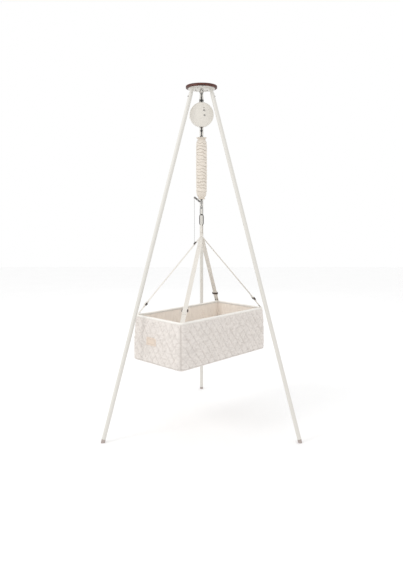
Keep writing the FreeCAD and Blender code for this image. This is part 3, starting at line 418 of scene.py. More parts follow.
def bare_metal(name, color, rough, brushed=True, stain=0.12):
    """Brushed or polished metal with scratches and slightly tarnished patches."""
    paint = Paint(name)
    scratches = paint.noise(0.0009, 4.0, 0.7, (1, 1, 0.06) if brushed else (1, 1, 1))
    cloudy = paint.noise(0.012, 4.0, 0.6)
    tone = paint.mix(paint.span(cloudy, 0.0, 1.0, 0.35, 0.7), tinted(color, 1 - stain), color)
    tone = paint.mix(paint.span(scratches, 0.0, 0.25, 0.6, 0.75), tone, tinted(color, 0.7))
    normal = paint.bump(scratches, 0.02 * MM, 0.5 if brushed else 0.2)
    spread = 0.10 if brushed else 0.05
    return paint.done(tone, paint.span(cloudy, rough - spread, rough + spread, 0.3, 0.7), normal,
                      Metallic=1.0)


def moulded(name, color, rough, grain=0.0008, depth=0.02 * MM, coat=0.0):
    """Moulded plastic or rubber with a spark-eroded grain and a faint flow pattern."""
    paint = Paint(name)
    texture = paint.noise(grain, 2.0, 0.6)
    flow = paint.noise(0.03, 4.0, 0.6)
    scuffs = paint.noise(0.006, 5.0, 0.75, (1, 1, 0.15), (0.4, 0.2, 0.7))
    tone = paint.mix(flow, tinted(color, 0.96), tinted(color, 1.02))
    tone = paint.mix(paint.span(scuffs, 0.0, 0.10, 0.6, 0.72), tone, tinted(color, 1.12))
    normal = paint.bump(texture, depth, 0.6)
    return paint.done(tone, paint.span(flow, rough - 0.05, rough + 0.07, 0.3, 0.7), normal,
                      **{"Coat Weight": coat, "Coat Roughness": 0.2})


def wood(name, dark, light, rough, coat):
    """Oiled timber: growth rings cut at a slant, fine fibres, pores and a soft finish."""
    paint = Paint(name)
    rings = paint.wave(0.009, "X", 5.0, (0.25, 0.0, 0.5), wave_type="RINGS", rings_direction="Y")
    fibres = paint.noise(0.0016, 5.0, 0.7, (0.06, 1, 1), (0, 0, 0.5))
    pores = paint.noise(0.0012, 2.0, 0.5, (0.1, 1, 1), (0, 0, 0.5))
    shade = paint.weighted(rings, 0.55, fibres, 0.45)
    tone = paint.mix(paint.span(shade, 0.0, 1.0, 0.2, 0.8), dark, light)
    tone = paint.mix(paint.span(pores, 0.0, 0.7, 0.62, 0.72), tone, tinted(dark, 0.4))
    normal = paint.bump(fibres, 0.08 * MM, 0.5)
    return paint.done(tone, paint.span(fibres, rough - 0.08, rough + 0.1), normal,
                      **{"Coat Weight": coat, "Coat Roughness": 0.3})


def leather(name, color):
    """Thin tanned leather with a pebbled grain and rubbed, paler high spots."""
    paint = Paint(name)
    cells = paint.add("ShaderNodeTexVoronoi", feature="DISTANCE_TO_EDGE")
    paint.feed(cells.inputs["Vector"], paint.scaled((1, 1, 1)))
    cells.inputs["Scale"].default_value = 700
    clouds = paint.noise(0.02, 4.0, 0.6)
    tone = paint.mix(clouds, tinted(color, 0.86), tinted(color, 1.1))
    # painted shade in the grooves between the pebbles of the grain
    tone = paint.mix(paint.span(cells.outputs["Distance"], 0.35, 0.0, 0.0, 0.15), tone,
                     tinted(color, 0.55))
    # painted shade along the debossed frame line marked on the mesh
    tone = paint.mix(paint.span(paint.attribute("crease_shade"), 0.0, 0.6), tone, tinted(color, 0.4))
    normal = paint.bump(cells.outputs["Distance"], 0.1 * MM, 0.5)
    return paint.done(tone, paint.span(clouds, 0.5, 0.7), normal)


def circuit(name):
    """Solder mask with paler tracks running across it."""
    paint = Paint(name)
    tracks = paint.wave(0.0024, "X", 1.5)
    pads = paint.noise(0.003, 1.0, 0.4)
    mask, track, pad = (0.02, 0.13, 0.06), (0.05, 0.24, 0.12), (0.55, 0.5, 0.38)
    tone = paint.mix(paint.span(tracks, 0.0, 1.0, 0.6, 0.7), mask, track)
    tone = paint.mix(paint.span(pads, 0.0, 1.0, 0.66, 0.7), tone, pad)
    return paint.done(tone, paint.span(pads, 0.25, 0.45), paint.bump(tracks, 0.03 * MM, 0.5))


palette = {
    "walnut": wood("walnut", (0.022, 0.0035, 0.002), (0.130, 0.026, 0.010), 0.5, 0.0),
    "board": wood("board", (0.42, 0.29, 0.17), (0.66, 0.50, 0.33), 0.55, 0.1),
    "leg_paint": painted_metal("leg_paint", (0.700, 0.680, 0.635)),
    "steel": bare_metal("steel", (0.40, 0.39, 0.375), 0.32),
    "dark_steel": bare_metal("dark_steel", (0.15, 0.14, 0.13), 0.34),
    "bright_steel": bare_metal("bright_steel", (0.42, 0.42, 0.41), 0.16, False, 0.10),
    "black_metal": painted_metal("black_metal", (0.020, 0.020, 0.021), 0.38, 0.2,
                                 wear=(0.12, 0.12, 0.12)),
    "brass": bare_metal("brass", (0.55, 0.42, 0.22), 0.30, False, 0.25),
    "foot_rubber": moulded("foot_rubber", (0.42, 0.36, 0.335), 0.72, 0.0012, 0.06 * MM),
    "shell_plastic": moulded("shell_plastic", (0.74, 0.705, 0.645), 0.40, coat=0.15),
    "grey_plastic": moulded("grey_plastic", (0.30, 0.29, 0.275), 0.45),
    "black_plastic": moulded("black_plastic", (0.070, 0.050, 0.042), 0.42),
    "board_green": circuit("board_green"),
    "cotton": cloth("cotton", (0.80, 0.735, 0.655), 1.0 * MM, shade=0.46),
    "quilt": cloth("quilt", (0.785, 0.735, 0.695), 1.1 * MM, shade=0.60),
    "lining_cloth": cloth("lining_cloth", (0.955, 0.88, 0.805), 0.8 * MM, shade=0.86),
    "mattress_cloth": cloth("mattress_cloth", (0.80, 0.77, 0.73), 0.9 * MM, shade=0.7),
    "binding_cloth": cloth("binding_cloth", (0.90, 0.875, 0.83), 0.9 * MM, shade=0.7),
    "webbing": cloth("webbing", (0.80, 0.765, 0.71), 1.3 * MM, 0.2 * MM, shade=0.6, chevron=True),
    "dark_webbing": cloth("dark_webbing", (0.055, 0.052, 0.05), 1.0 * MM, 0.2 * MM, chevron=True),
    "cord_grey": cloth("cord_grey", (0.50, 0.50, 0.49), 0.6 * MM, 0.1 * MM),
    "label_leather": leather("label_leather", (0.76, 0.64, 0.54)),
    "thread": cloth("thread", (0.86, 0.83, 0.78), 0.4 * MM, 0.05 * MM),
}
for subpart in record["subparts"]:
    materials = nodes[subpart["node"]].data.materials
    materials.clear()
    materials.append(palette[subpart["material_slot"]])


def finished(item, slot_name, body, *stands_for, look=None):
    """Give a piece the material named by its slot, put it on its body and hide the nodes it stands for."""
    item.data.materials.append(palette[look or slot_name])
    if body:
        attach(item, body)
    if stands_for:
        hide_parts(*stands_for)
    return item


# ---- quilted shell
shell_low, shell_high = local_size("basket_shell")
tape_low, tape_high = local_size("rim_binding")
board_low, board_high = local_size("base_board")
TAPE_SKIN = 2.5 * MM
WALL = 12 * MM
WEB = 25 * MM
WEB_THICK = 1.8 * MM
RIM_LENGTH = tape_high[0] - tape_low[0] - 2 * TAPE_SKIN
RIM_WIDTH = tape_high[1] - tape_low[1] - 2 * TAPE_SKIN
tape_reach = np.abs(local_points("rim_binding")[:, :2]).sum(1).max()
CORNER = ((tape_high[0] + tape_high[1] - tape_reach) / (2 - math.sqrt(2))) - TAPE_SKIN
RIM = tape_high[2]
FLARE = (shell_high[0] - shell_low[0] - RIM_LENGTH) / 2
DEPTH = RIM - shell_low[2]
EDGE = 10 * MM
RIM_STEP = 2.4 * MM
base, outward, along, girth, corner_marks = outline(RIM_LENGTH, RIM_WIDTH, CORNER, RIM_STEP)


def flare_at(level):
    """How far the sides lean out from the rim at a level."""
    return FLARE * (RIM - level) / DEPTH


def corner_distance(places):
    """Arc length from each place on the rim to the nearest corner seam."""
    gaps = np.abs(places[:, None] - corner_marks[None, :])
    return np.minimum(gaps, girth - gaps).min(1)


def quilting(points, places, levels):
    """Puffed height and painted crease shade strength of the diamond quilting at points on the sides."""
    wide, tall = 48 * MM, 66 * MM
    seam_width = 0.14
    diamonds = round(girth / wide)
    wander = 4.0 * MM * noise(points, 0.06, 3)
    round_way = (places + wander) / girth * diamonds
    down_way = (levels + 2.5 * MM * noise(points, 0.05, 4)) / tall
    strong = np.abs(np.sin(math.pi * (round_way - down_way)))
    weak = np.abs(np.sin(math.pi * (round_way + down_way)))
    puff = strong ** 0.45 * (0.62 + 0.38 * weak ** 0.45)
    line = np.maximum(bell(strong, seam_width), 0.6 * bell(weak, seam_width))
    puckers = noise(points, 8 * MM, 5) * bell(np.minimum(strong, weak), 0.5)
    crinkles = noise(points * (1, 1, 0.8), 11 * MM, 7)
    creased = np.abs(noise(points * (1, 1, 1.5), 16 * MM, 6))
    height = (5.4 * MM * puff + 1.8 * MM * puckers + 2.0 * MM * crinkles
              - 2.8 * MM * (1 - creased) ** 6)
    # the second value is painted shade along the quilting seams and the random creases
    return height, np.clip(0.75 * line + 0.7 * (1 - creased) ** 6, 0, 1)


def make_shell():
    """Outer quilted cloth over the wadding, closed round the board and up inside the wall."""
    columns = len(base)
    rows, crease_shades = [], []
    closing = np.zeros(columns)
    low, top = shell_low[2], shell_high[2]
    for share in (0.03, 0.2, 0.4, 0.6, 0.8, 0.9, 0.97):
        ring = (base + outward * (FLARE - EDGE)) * share
        sag = 1.0 * MM * noise(at_level(ring, 0), 0.05, 8) * (share < 0.95)
        rows.append(at_level(ring, low + np.abs(sag)))
        # a little painted shade over the underside
        crease_shades.append(closing + 0.1)
    bend_rows, wall_rows, inner_rows = 12, 92, 10
    levels, spreads, strength = [], [], []
    for bend in np.radians(np.linspace(0, 90, bend_rows)):
        levels.append(low + EDGE * (1 - math.cos(bend)))
        spreads.append(flare_at(low) - EDGE * (1 - math.sin(bend)))
        strength.append(smooth(bend, 0.9, 1.6))
    for level in np.linspace(low + EDGE, top, wall_rows)[1:]:
        levels.append(level)
        spreads.append(flare_at(level))
        strength.append(1.0)
    seam_gap = corner_distance(along)
    deepest = -3.4 * MM
    for level, spread, quilt_share in zip(levels, spreads, strength):
        ring = base + outward * spread
        spot = at_level(ring, level)
        height, line = quilting(spot, along, RIM - level)
        fade = quilt_share * smooth(top - level, 0.0, 14 * MM)
        corner_fade = smooth(seam_gap, 0, 12 * MM)
        belly = 4.0 * MM * math.sin(math.pi * np.clip((level - low) / (top - low), 0, 1))
        loose = 2.2 * MM * noise(spot, 0.09, 11) + 1.0 * MM * noise(spot, 0.03, 12)
        seam = -1.6 * MM * bell(seam_gap, 1.8 * MM)
        gathers = (1.5 * MM * bell(seam_gap, 22 * MM)
                   * noise(spot * (0.35, 0.35, 1), 6 * MM, 13))
        hem_level = low + EDGE * 1.05 + 1.2 * MM * noise(spot, 0.04, 14)
        hem = bell(level - hem_level, 2.2 * MM)
        hem_gathers = 1.3 * MM * bell(level - hem_level, 12 * MM) * noise(
            spot * (1, 1, 0.3), 7 * MM, 15)
        push = (height * corner_fade * fade + belly * quilt_share + loose * fade
                + (seam + gathers) * fade - 2.4 * MM * hem + hem_gathers * quilt_share)
        push = np.maximum(push, deepest)
        lift = np.where(quilt_share < 1, 1.0 * MM * (1 - quilt_share) * noise(spot, 0.03, 16), 0)
        rows.append(at_level(ring + outward * push[:, None], level + np.abs(lift)))
        # painted shade in the quilting seams, the corner seams and the hem groove
        crease_shade = line * 0.80 * fade + bell(seam_gap, 3 * MM) * fade + 0.9 * hem
        crease_shades.append(np.clip(crease_shade, 0, 1))
    inside = -(WALL - 0.6 * MM)
    under_board = board_low[2] - 0.2 * MM
    for level in np.linspace(top, under_board, inner_rows):
        rows.append(at_level(base + outward * (flare_at(level) + inside), level))
        crease_shades.append(closing)
    for share in (0.8, 0.4, 0.03):
        ring = (base + outward * (flare_at(board_low[2]) + inside)) * share
        rows.append(at_level(ring, under_board))
        crease_shades.append(closing)
    points = turned(np.concatenate(rows))
    shell = new_object("quilted_shell", points, grid_faces(len(rows), columns),
                       np.concatenate(crease_shades))
    finished(shell, "quilt", "cradle", "basket_shell")


make_shell()


# ---- lining
def make_lining():
    """Thin lining that hangs in soft vertical folds inside the wall."""
    low, top = board_high[2], local_size("lining")[1][2]
    between_faces = 1.0 * MM
    fold_width, fold_depth, face_rows = 29 * MM, 4.8 * MM, 46
    seam_gap = corner_distance(along)
    rows, crease_shades = [], []

    def row_at(level, outset=0.0, share=1.0):
        spot = at_level(base, level)
        depth = np.clip((top - level) / (top - low), 0, 1)
        phase = along / fold_width + 0.9 * noise(spot * (1, 1, 0.25), 0.07, 21)
        wave = 0.5 + 0.5 * np.sin(2 * math.pi * phase)
        strong = 0.35 + 0.65 * np.abs(noise(spot * (1, 1, 0.3), 0.045, 22))
        hang = 0.3 + 0.7 * math.sin(math.pi * min(depth * 0.9 + 0.1, 1))
        fold = wave ** 1.3 * strong * fold_depth * hang * smooth(seam_gap, 8 * MM, 26 * MM)
        small = 0.5 * MM * noise(spot * (1, 1, 0.5), 9 * MM, 23)
        corner = 1.2 * MM * bell(seam_gap, 4 * MM)
        inset = -(WALL + 0.6 * MM) - fold - np.abs(small) + corner
        ring = base + outward * (flare_at(level) + inset + outset)[:, None]
        rows.append(at_level(ring * share, level))
        # painted shade in the valleys of the folds
        crease_shades.append(np.clip((1 - wave) ** 3 * strong, 0, 1) * 0.6)

    for share in (0.03, 0.35, 0.7):
        row_at(low + 0.4 * MM, between_faces, share)
    for level in np.linspace(low + 0.6 * MM, top, face_rows):
        row_at(level, between_faces)
    for level in np.linspace(top, low + 1.8 * MM, face_rows):
        row_at(level)
    for share in (0.7, 0.35, 0.03):
        row_at(low + 1.9 * MM, share=share)
    points = turned(np.concatenate(rows))
    lining = new_object("lining_folds", points, grid_faces(len(rows), len(base)),
                        np.concatenate(crease_shades))
    finished(lining, "lining_cloth", "cradle", "lining")


make_lining()


# ---- rim tape
def make_tape():
    """Bound edge folded over the rim wire, with puckers beside its two rows of stitches."""
    skin = 1.5 * MM
    columns = len(base)
    top, low = RIM, tape_low[2]
    half = (WALL + 2 * TAPE_SKIN) / 2
    middle = -WALL / 2
    outer_turns = np.radians(np.linspace(0, 180, 13))
    profile = [(half - 0.4 * MM, low), (half, low + 2.2 * MM), (half, low + 4.5 * MM)]
    crown = 6.0 * MM
    for turn in outer_turns:
        profile.append((half * np.sign(math.cos(turn)) * abs(math.cos(turn)) ** 0.7,
                        top - crown + crown * math.sin(turn) ** 0.8))
    profile += [(-half, low + 4.5 * MM), (-half, low + 2.2 * MM), (-half + 0.4 * MM, low)]
    inner = [(-half + skin, low + 0.2 * MM), (-half + skin, top - crown)]
    for turn in outer_turns[2:-2:2][::-1]:
        inner.append(((half - skin) * np.sign(math.cos(turn)) * abs(math.cos(turn)) ** 0.7,
                      top - crown + (crown - skin) * math.sin(turn) ** 0.8))
    inner += [(half - skin, top - crown), (half - skin, low + 0.2 * MM)]
    stitch_level = low + 3.2 * MM
    rows, crease_shades = [], []
    for index, (across, level) in enumerate([*profile, *inner]):
        spot = at_level(base + outward * (middle + across), level)
        shown = 1.0 if index < len(profile) else 0.0
        puckers = shown * 0.55 * MM * noise(spot * (1, 1, 0.4), 6 * MM, 31)
        roll = shown * 0.5 * MM * noise(spot, 0.03, 32)
        groove = shown * bell(level - stitch_level, 1.4 * MM)
        push = (puckers + roll - 0.5 * MM * groove) * (1 if across > 0 else -1)
        lift = shown * 0.35 * MM * noise(spot, 0.02, 33) * (level > low + 5 * MM)
        ring = base + outward * (middle + across + push)[:, None]
        rows.append(at_level(ring, level - np.abs(lift)))
        # painted shade in the groove along the stitch line
        crease_shades.append(np.full(columns, groove * 0.7))
    points = turned(np.concatenate(rows))
    tape = new_object("rim_tape", points, grid_faces(len(rows), columns, round_rows=True),
                      np.concatenate(crease_shades))
    finished(tape, "binding_cloth", "cradle", "rim_binding")
    parts = []
    for side in (1, -1):
        reach = middle + side * (half + 0.1 * MM)
        path = turned(at_level(base + outward * reach, stitch_level))
        normal = turned(at_level(outward * side, 0)) - AXIS
        parts += stitches(np.vstack([path, path[:1]]), np.vstack([normal, normal[:1]]),
                          4.2 * MM, 3.0 * MM, 0.55 * MM)
    finished(joined("rim_stitches", parts), "binding_cloth", "cradle", look="thread")


make_tape()


# ---- mattress
def swollen(item, voxel, cap, pressure=4.0, steps=20):
    """Puff a closed mesh up with a short cloth simulation and keep the result."""
    remesh = item.modifiers.new("voxels", "REMESH")
    remesh.mode = "VOXEL"
    remesh.voxel_size = voxel
    remesh.use_smooth_shade = True
    bpy.context.view_layer.objects.active = item
    bpy.ops.object.select_all(action="DESELECT")
    item.select_set(True)
    bpy.ops.object.modifier_apply(modifier="voxels")
    count = len(item.data.vertices)
    before = np.zeros(count * 3)
    item.data.vertices.foreach_get("co", before)
    sim = item.modifiers.new("cloth", "CLOTH")
    sim.settings.use_pressure = True
    sim.settings.uniform_pressure_force = pressure
    sim.settings.effector_weights.gravity = 0
    sim.settings.tension_stiffness = 15
    sim.settings.bending_stiffness = 0.3
    sim.settings.mass = 0.3
    for step in range(1, steps + 1):
        bpy.context.scene.frame_set(step)
    evaluated = item.evaluated_get(bpy.context.evaluated_depsgraph_get())
    after = np.zeros(count * 3)
    evaluated.data.vertices.foreach_get("co", after)
    item.modifiers.remove(sim)
    bpy.context.scene.frame_set(1)
    move = (after - before).reshape(-1, 3)
    length = np.linalg.norm(move, axis=1)
    move *= (np.minimum(length, cap) / np.maximum(length, 1e-9))[:, None]
    item.data.vertices.foreach_set("co", (before.reshape(-1, 3) + move).ravel())
    item.data.update()
    return item


def make_mattress():
    """Foam mattress in a cover quilted in crossing channels."""
    low, high = local_size("mattress")
    length, width = high[0] - low[0], high[1] - low[1]
    shrink = 4 * MM
    radius = 22 * MM
    ring, facing, *_ = outline(length - 2 * shrink, width - 2 * shrink, radius, 6 * MM)
    bottom, top = low[2] + 1 * MM, high[2] - 4 * MM
    edge = 9 * MM
    shares, bends = (0.05, 0.35, 0.65, 0.88), np.radians([0, 30, 60, 90])
    inner = ring - facing * edge
    rows = [at_level(inner * share, bottom) for share in shares]
    rows += [at_level(ring - facing * edge * (1 - math.sin(bend)),
                      bottom + edge * (1 - math.cos(bend))) for bend in bends]
    rows += [at_level(ring - facing * edge * (1 - math.sin(bend)),
                      top - edge * (1 - math.cos(bend))) for bend in bends[::-1]]
    rows += [at_level(inner * share, top) for share in shares[::-1]]
    pad = new_object("mattress_pad", turned(np.concatenate(rows)),
                     grid_faces(len(rows), len(ring)))
    swollen(pad, 6 * MM, 5 * MM)
    subdivision = pad.modifiers.new("smoother", "SUBSURF")
    subdivision.levels = subdivision.render_levels = 1
    bpy.ops.object.modifier_apply(modifier="smoother")
    count = len(pad.data.vertices)
    flat = np.zeros(count * 3)
    pad.data.vertices.foreach_get("co", flat)
    points = flat.reshape(-1, 3)
    local = (points - AXIS) @ AROUND
    channels, dip_depth = 55 * MM, 2.0 * MM
    over = np.abs(np.sin(math.pi * (local[:, 0] + local[:, 1]) / channels))
    under = np.abs(np.sin(math.pi * (local[:, 0] - local[:, 1]) / channels))
    facing_up = smooth(local[:, 2], top - 7 * MM, top - 3 * MM)
    nearest = np.minimum(over, under)
    dip = bell(nearest, 0.22)
    wrinkles = noise(points, 14 * MM, 41)
    points[:, 2] += facing_up * (-dip_depth * dip + 0.35 * MM * wrinkles)
    np.minimum(points[:, 2], high[2] + 3 * MM, out=points[:, 2])
    np.maximum(points[:, 2], low[2] + 0.2 * MM, out=points[:, 2])
    pad.data.vertices.foreach_set("co", points.ravel())
    # painted shade in the quilted channels on the top
    attribute = pad.data.attributes.new("crease_shade", "FLOAT", "POINT")
    attribute.data.foreach_set("value", (dip * facing_up * 0.6).astype(np.float32))
    pad.data.polygons.foreach_set("use_smooth", np.ones(len(pad.data.polygons), bool))
    pad.data.update()
    finished(pad, "mattress_cloth", "cradle", "mattress")


make_mattress()


# ---- webbing
def ribbed_band(path, reference, widths, thickness, rib=2.6 * MM, rib_depth=0.16 * MM):
    """A woven tape along a path: herringbone ribs and thicker, rolled selvages."""
    spots, places = resampled(path, rib / 4)
    _, across, upward = frames_along(spots, reference)
    widths = np.interp(places, np.linspace(0, places[-1], len(widths)), widths)
    shares = np.array([-1, -0.97, -0.88, -0.78, -0.5, -0.25, 0, 0.25, 0.5, 0.78, 0.88, 0.97, 1])
    heights = np.array([0.0, 0.82, 1.12, 0.9, 0.9, 0.9, 0.9, 0.9, 0.9, 0.9, 1.12, 0.82, 0.0])
    top = np.stack([shares, heights], -1)
    under = np.stack([shares[1:-1][::-1], -heights[1:-1][::-1]], -1)
    section = np.concatenate([top, under])
    slant = np.abs(((section[:, 0] + 1) * 2) % 2 - 1)
    phase = 2 * math.pi * (places[:, None] / rib + 0.9 * slant[None, :])
    inner = (np.abs(section[:, 0]) < 0.85)[None, :]
    ribs = rib_depth * np.sin(phase) * inner
    shape = np.zeros((len(spots), len(section), 2))
    shape[..., 0] = section[None, :, 0] * widths[:, None] / 2
    shape[..., 1] = section[None, :, 1] * thickness / 2 + ribs * np.sign(section[None, :, 1])
    points = swept(spots, across, upward, shape)
    # painted shade in the troughs between the ribs
    crease_shade = (0.5 - 0.5 * np.sin(phase)) * inner * 0.5
    return points, grid_faces(len(spots), len(section)), crease_shade.ravel()


def slab(points):
    """Centre, long, wide and thin directions, and half sizes, of a box-shaped set of points."""
    corners = np.unique(np.round(points, 6), axis=0)
    centre = corners.mean(0)
    _, _, axes = np.linalg.svd(corners - centre, full_matrices=False)
    half = np.abs((corners - centre) @ axes.T).max(0)
    return centre, axes, half


tab_points = node_points("strap_tabs")
slider_points = node_points("strap_sliders")
LOOP_BOTTOM = node_points("strap_loop")[:, 2].min()
SEWN_UP = WEB_THICK / 2 + 0.05 * MM


def nearest_to(points, direction):
    """The points that lie in one direction from the hanging line."""
    flat = points[:, :2] - AXIS[:2]
    facing = flat @ direction / np.maximum(np.linalg.norm(flat, axis=1), 1e-9)
    return points[facing > 0.9]


def stitched_box(centre, forward, side, up, length, width):
    """A sewn box with a cross in it, as stitch parts."""
    corners = [centre + forward * a * length / 2 + side * b * width / 2
               for a, b in ((1, 1), (1, -1), (-1, -1), (-1, 1))]
    runs = [(corners[0], corners[1]), (corners[1], corners[2]), (corners[2], corners[3]),
            (corners[3], corners[0]), (corners[0], corners[2]), (corners[1], corners[3])]
    parts = []
    for start, end in runs:
        parts += stitches([start, end], np.array([up, up]), 2.6 * MM, 2.0 * MM, 0.5 * MM)
    return parts


def make_straps():
    """Straps from the gathered crown to the sliders, and the tabs that come up to meet them."""
    crown_level = LOOP_BOTTOM + 27 * MM
    crown_width, slider_lift = 13 * MM, 4.6 * MM
    end_seat, tab_seat = 4.6 * MM, 26 * MM
    sewn, tabs = [], []
    for name in ("strap_back", "strap_left", "strap_front", "strap_right"):
        centre, axes, half = slab(node_points(name))
        down = axes[0] if axes[0][2] < 0 else -axes[0]
        radial = np.array([down[0], down[1]]) / math.hypot(down[0], down[1])
        out = np.array([*radial, 0.0])
        side = np.cross(out, UP)
        normal = np.cross(side, down)
        normal *= -1 if normal[2] < 0 else 1
        start, end = centre - down * half[0], centre + down * half[0]
        top = AXIS + out * 3.2 * MM + UP * (crown_level + 12 * MM)
        bend = AXIS + out * 5.0 * MM + UP * (crown_level - 4 * MM)
        upper = rounded_path([top, bend, start + down * 12 * MM, end], 30 * MM, 12)
        upper, _ = resampled(upper, 2 * MM)
        from_slider = np.abs((upper - nearest_to(slider_points, radial).mean(0)) @ down)
        over = slider_lift * (1 - smooth(from_slider, 7 * MM, 13 * MM))
        upper = upper + normal * over[:, None]
        widths = np.concatenate([np.linspace(crown_width, WEB, 8), np.full(70, WEB)])
        strap = joined(name + "_web", [ribbed_band(upper, side, widths, WEB_THICK)])
        finished(strap, "webbing", "cradle", name)

        tab_centre, tab_axes, tab_half = slab(nearest_to(tab_points, radial))
        tab_down = tab_axes[0] if tab_axes[0][2] < 0 else -tab_axes[0]
        tab_start = tab_centre - tab_down * tab_half[0]
        tab_end = tab_centre + tab_down * (tab_half[0] - 3 * MM)
        under = -normal * 0.25 * MM
        fold = [tab_start + under, tab_centre + under, tab_end + under,
                tab_end + under * 2 + tab_down * 3 * MM - UP * 4 * MM - out * 1.0 * MM]
        tab = joined(name.replace("strap", "tab") + "_web",
                     [ribbed_band(rounded_path(fold, 6 * MM), side, [WEB] * 4, WEB_THICK)])
        finished(tab, "webbing", "cradle")
        tabs.append(tab)
        sewn += stitched_box(end - down * end_seat + normal * SEWN_UP,
                             down, side, normal, 6 * MM, 19 * MM)
        seat = tab_centre + tab_down * (tab_half[0] - tab_seat) + normal * SEWN_UP
        sewn += stitched_box(seat, tab_down, side, normal, 14 * MM, 19 * MM)
    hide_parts("strap_tabs")
    finished(joined("strap_stitches", sewn), "webbing", "cradle", look="thread")


make_straps()


def make_loop():
    """The folded webbing that carries the straps on the oval ring, and its sewn crown."""
    ring_points = node_points("webbing_ring")
    ring_bottom = ring_points[:, 2].min()
    spread = ring_points - ring_points.mean(0)
    _, _, axes = np.linalg.svd(spread[:, :2], full_matrices=False)
    plane = np.array([*axes[0], 0.0])
    normal = np.array([-plane[1], plane[0], 0.0])
    wire = 2.5 * MM
    centre = AXIS + UP * (ring_bottom + wire)
    lean, shoulder, shoulder_drop = 3.1 * MM, 4.6 * MM, 14 * MM
    low = AXIS + UP * (LOOP_BOTTOM + 21 * MM)
    climb = [low + normal * lean, centre + normal * shoulder - UP * shoulder_drop]
    radius = wire + WEB_THICK / 2 + 0.25 * MM
    over = [centre + radius * (math.cos(turn) * normal + math.sin(turn) * UP)
            for turn in np.radians(np.linspace(0, 180, 15))]
    descend = [centre - normal * shoulder - UP * shoulder_drop, low - normal * lean]
    widths = np.array([19, 17, 15, 14, 14, 15, 17, 19]) * MM
    band = ribbed_band([*climb, *over, *descend], plane, widths, WEB_THICK)
    rows, sides = 26, 48
    turns = even_turns(sides)
    crown_low = LOOP_BOTTOM + 17 * MM
    crown_high = crown_low + 19 * MM
    wrap = []
    for share in np.linspace(0, 1, rows):
        waist = 1 - 0.12 * math.sin(math.pi * share)
        roll = 0.35 * MM * math.sin(share * math.pi * 14)
        ends = smooth(min(share, 1 - share), 0, 0.06)
        across = (9.6 * MM + roll + 1.6 * MM * (1 - share)) * waist
        deep = (6.8 * MM + roll + 2.4 * MM * (1 - share)) * waist
        ring = (np.cos(turns)[:, None] * plane * across + np.sin(turns)[:, None] * normal * deep)
        ring = ring * (0.90 + 0.10 * ends)
        level = crown_low + (crown_high - crown_low) * share
        wrap.append(AXIS + ring + UP * level
                    + UP * (0.6 * MM * noise(ring + UP * level, 8 * MM, 51))[:, None])
    # an even light painted shade over the gathered wrap
    wrapping = (np.array(wrap), grid_faces(rows, sides), 0.15)
    finished(joined("webbing_loop", [band, wrapping]), "webbing", "cradle", "strap_loop")
    front = AXIS + UP * (crown_high + 14 * MM)
    sewn = []
    for sign in (1, -1):
        sewn += stitched_box(front + sign * normal * (4.55 * MM + WEB_THICK / 2), UP, plane,
                             sign * normal, 12 * MM, 11 * MM)
    finished(joined("loop_stitches", sewn), "webbing", "cradle", look="thread")


make_loop()


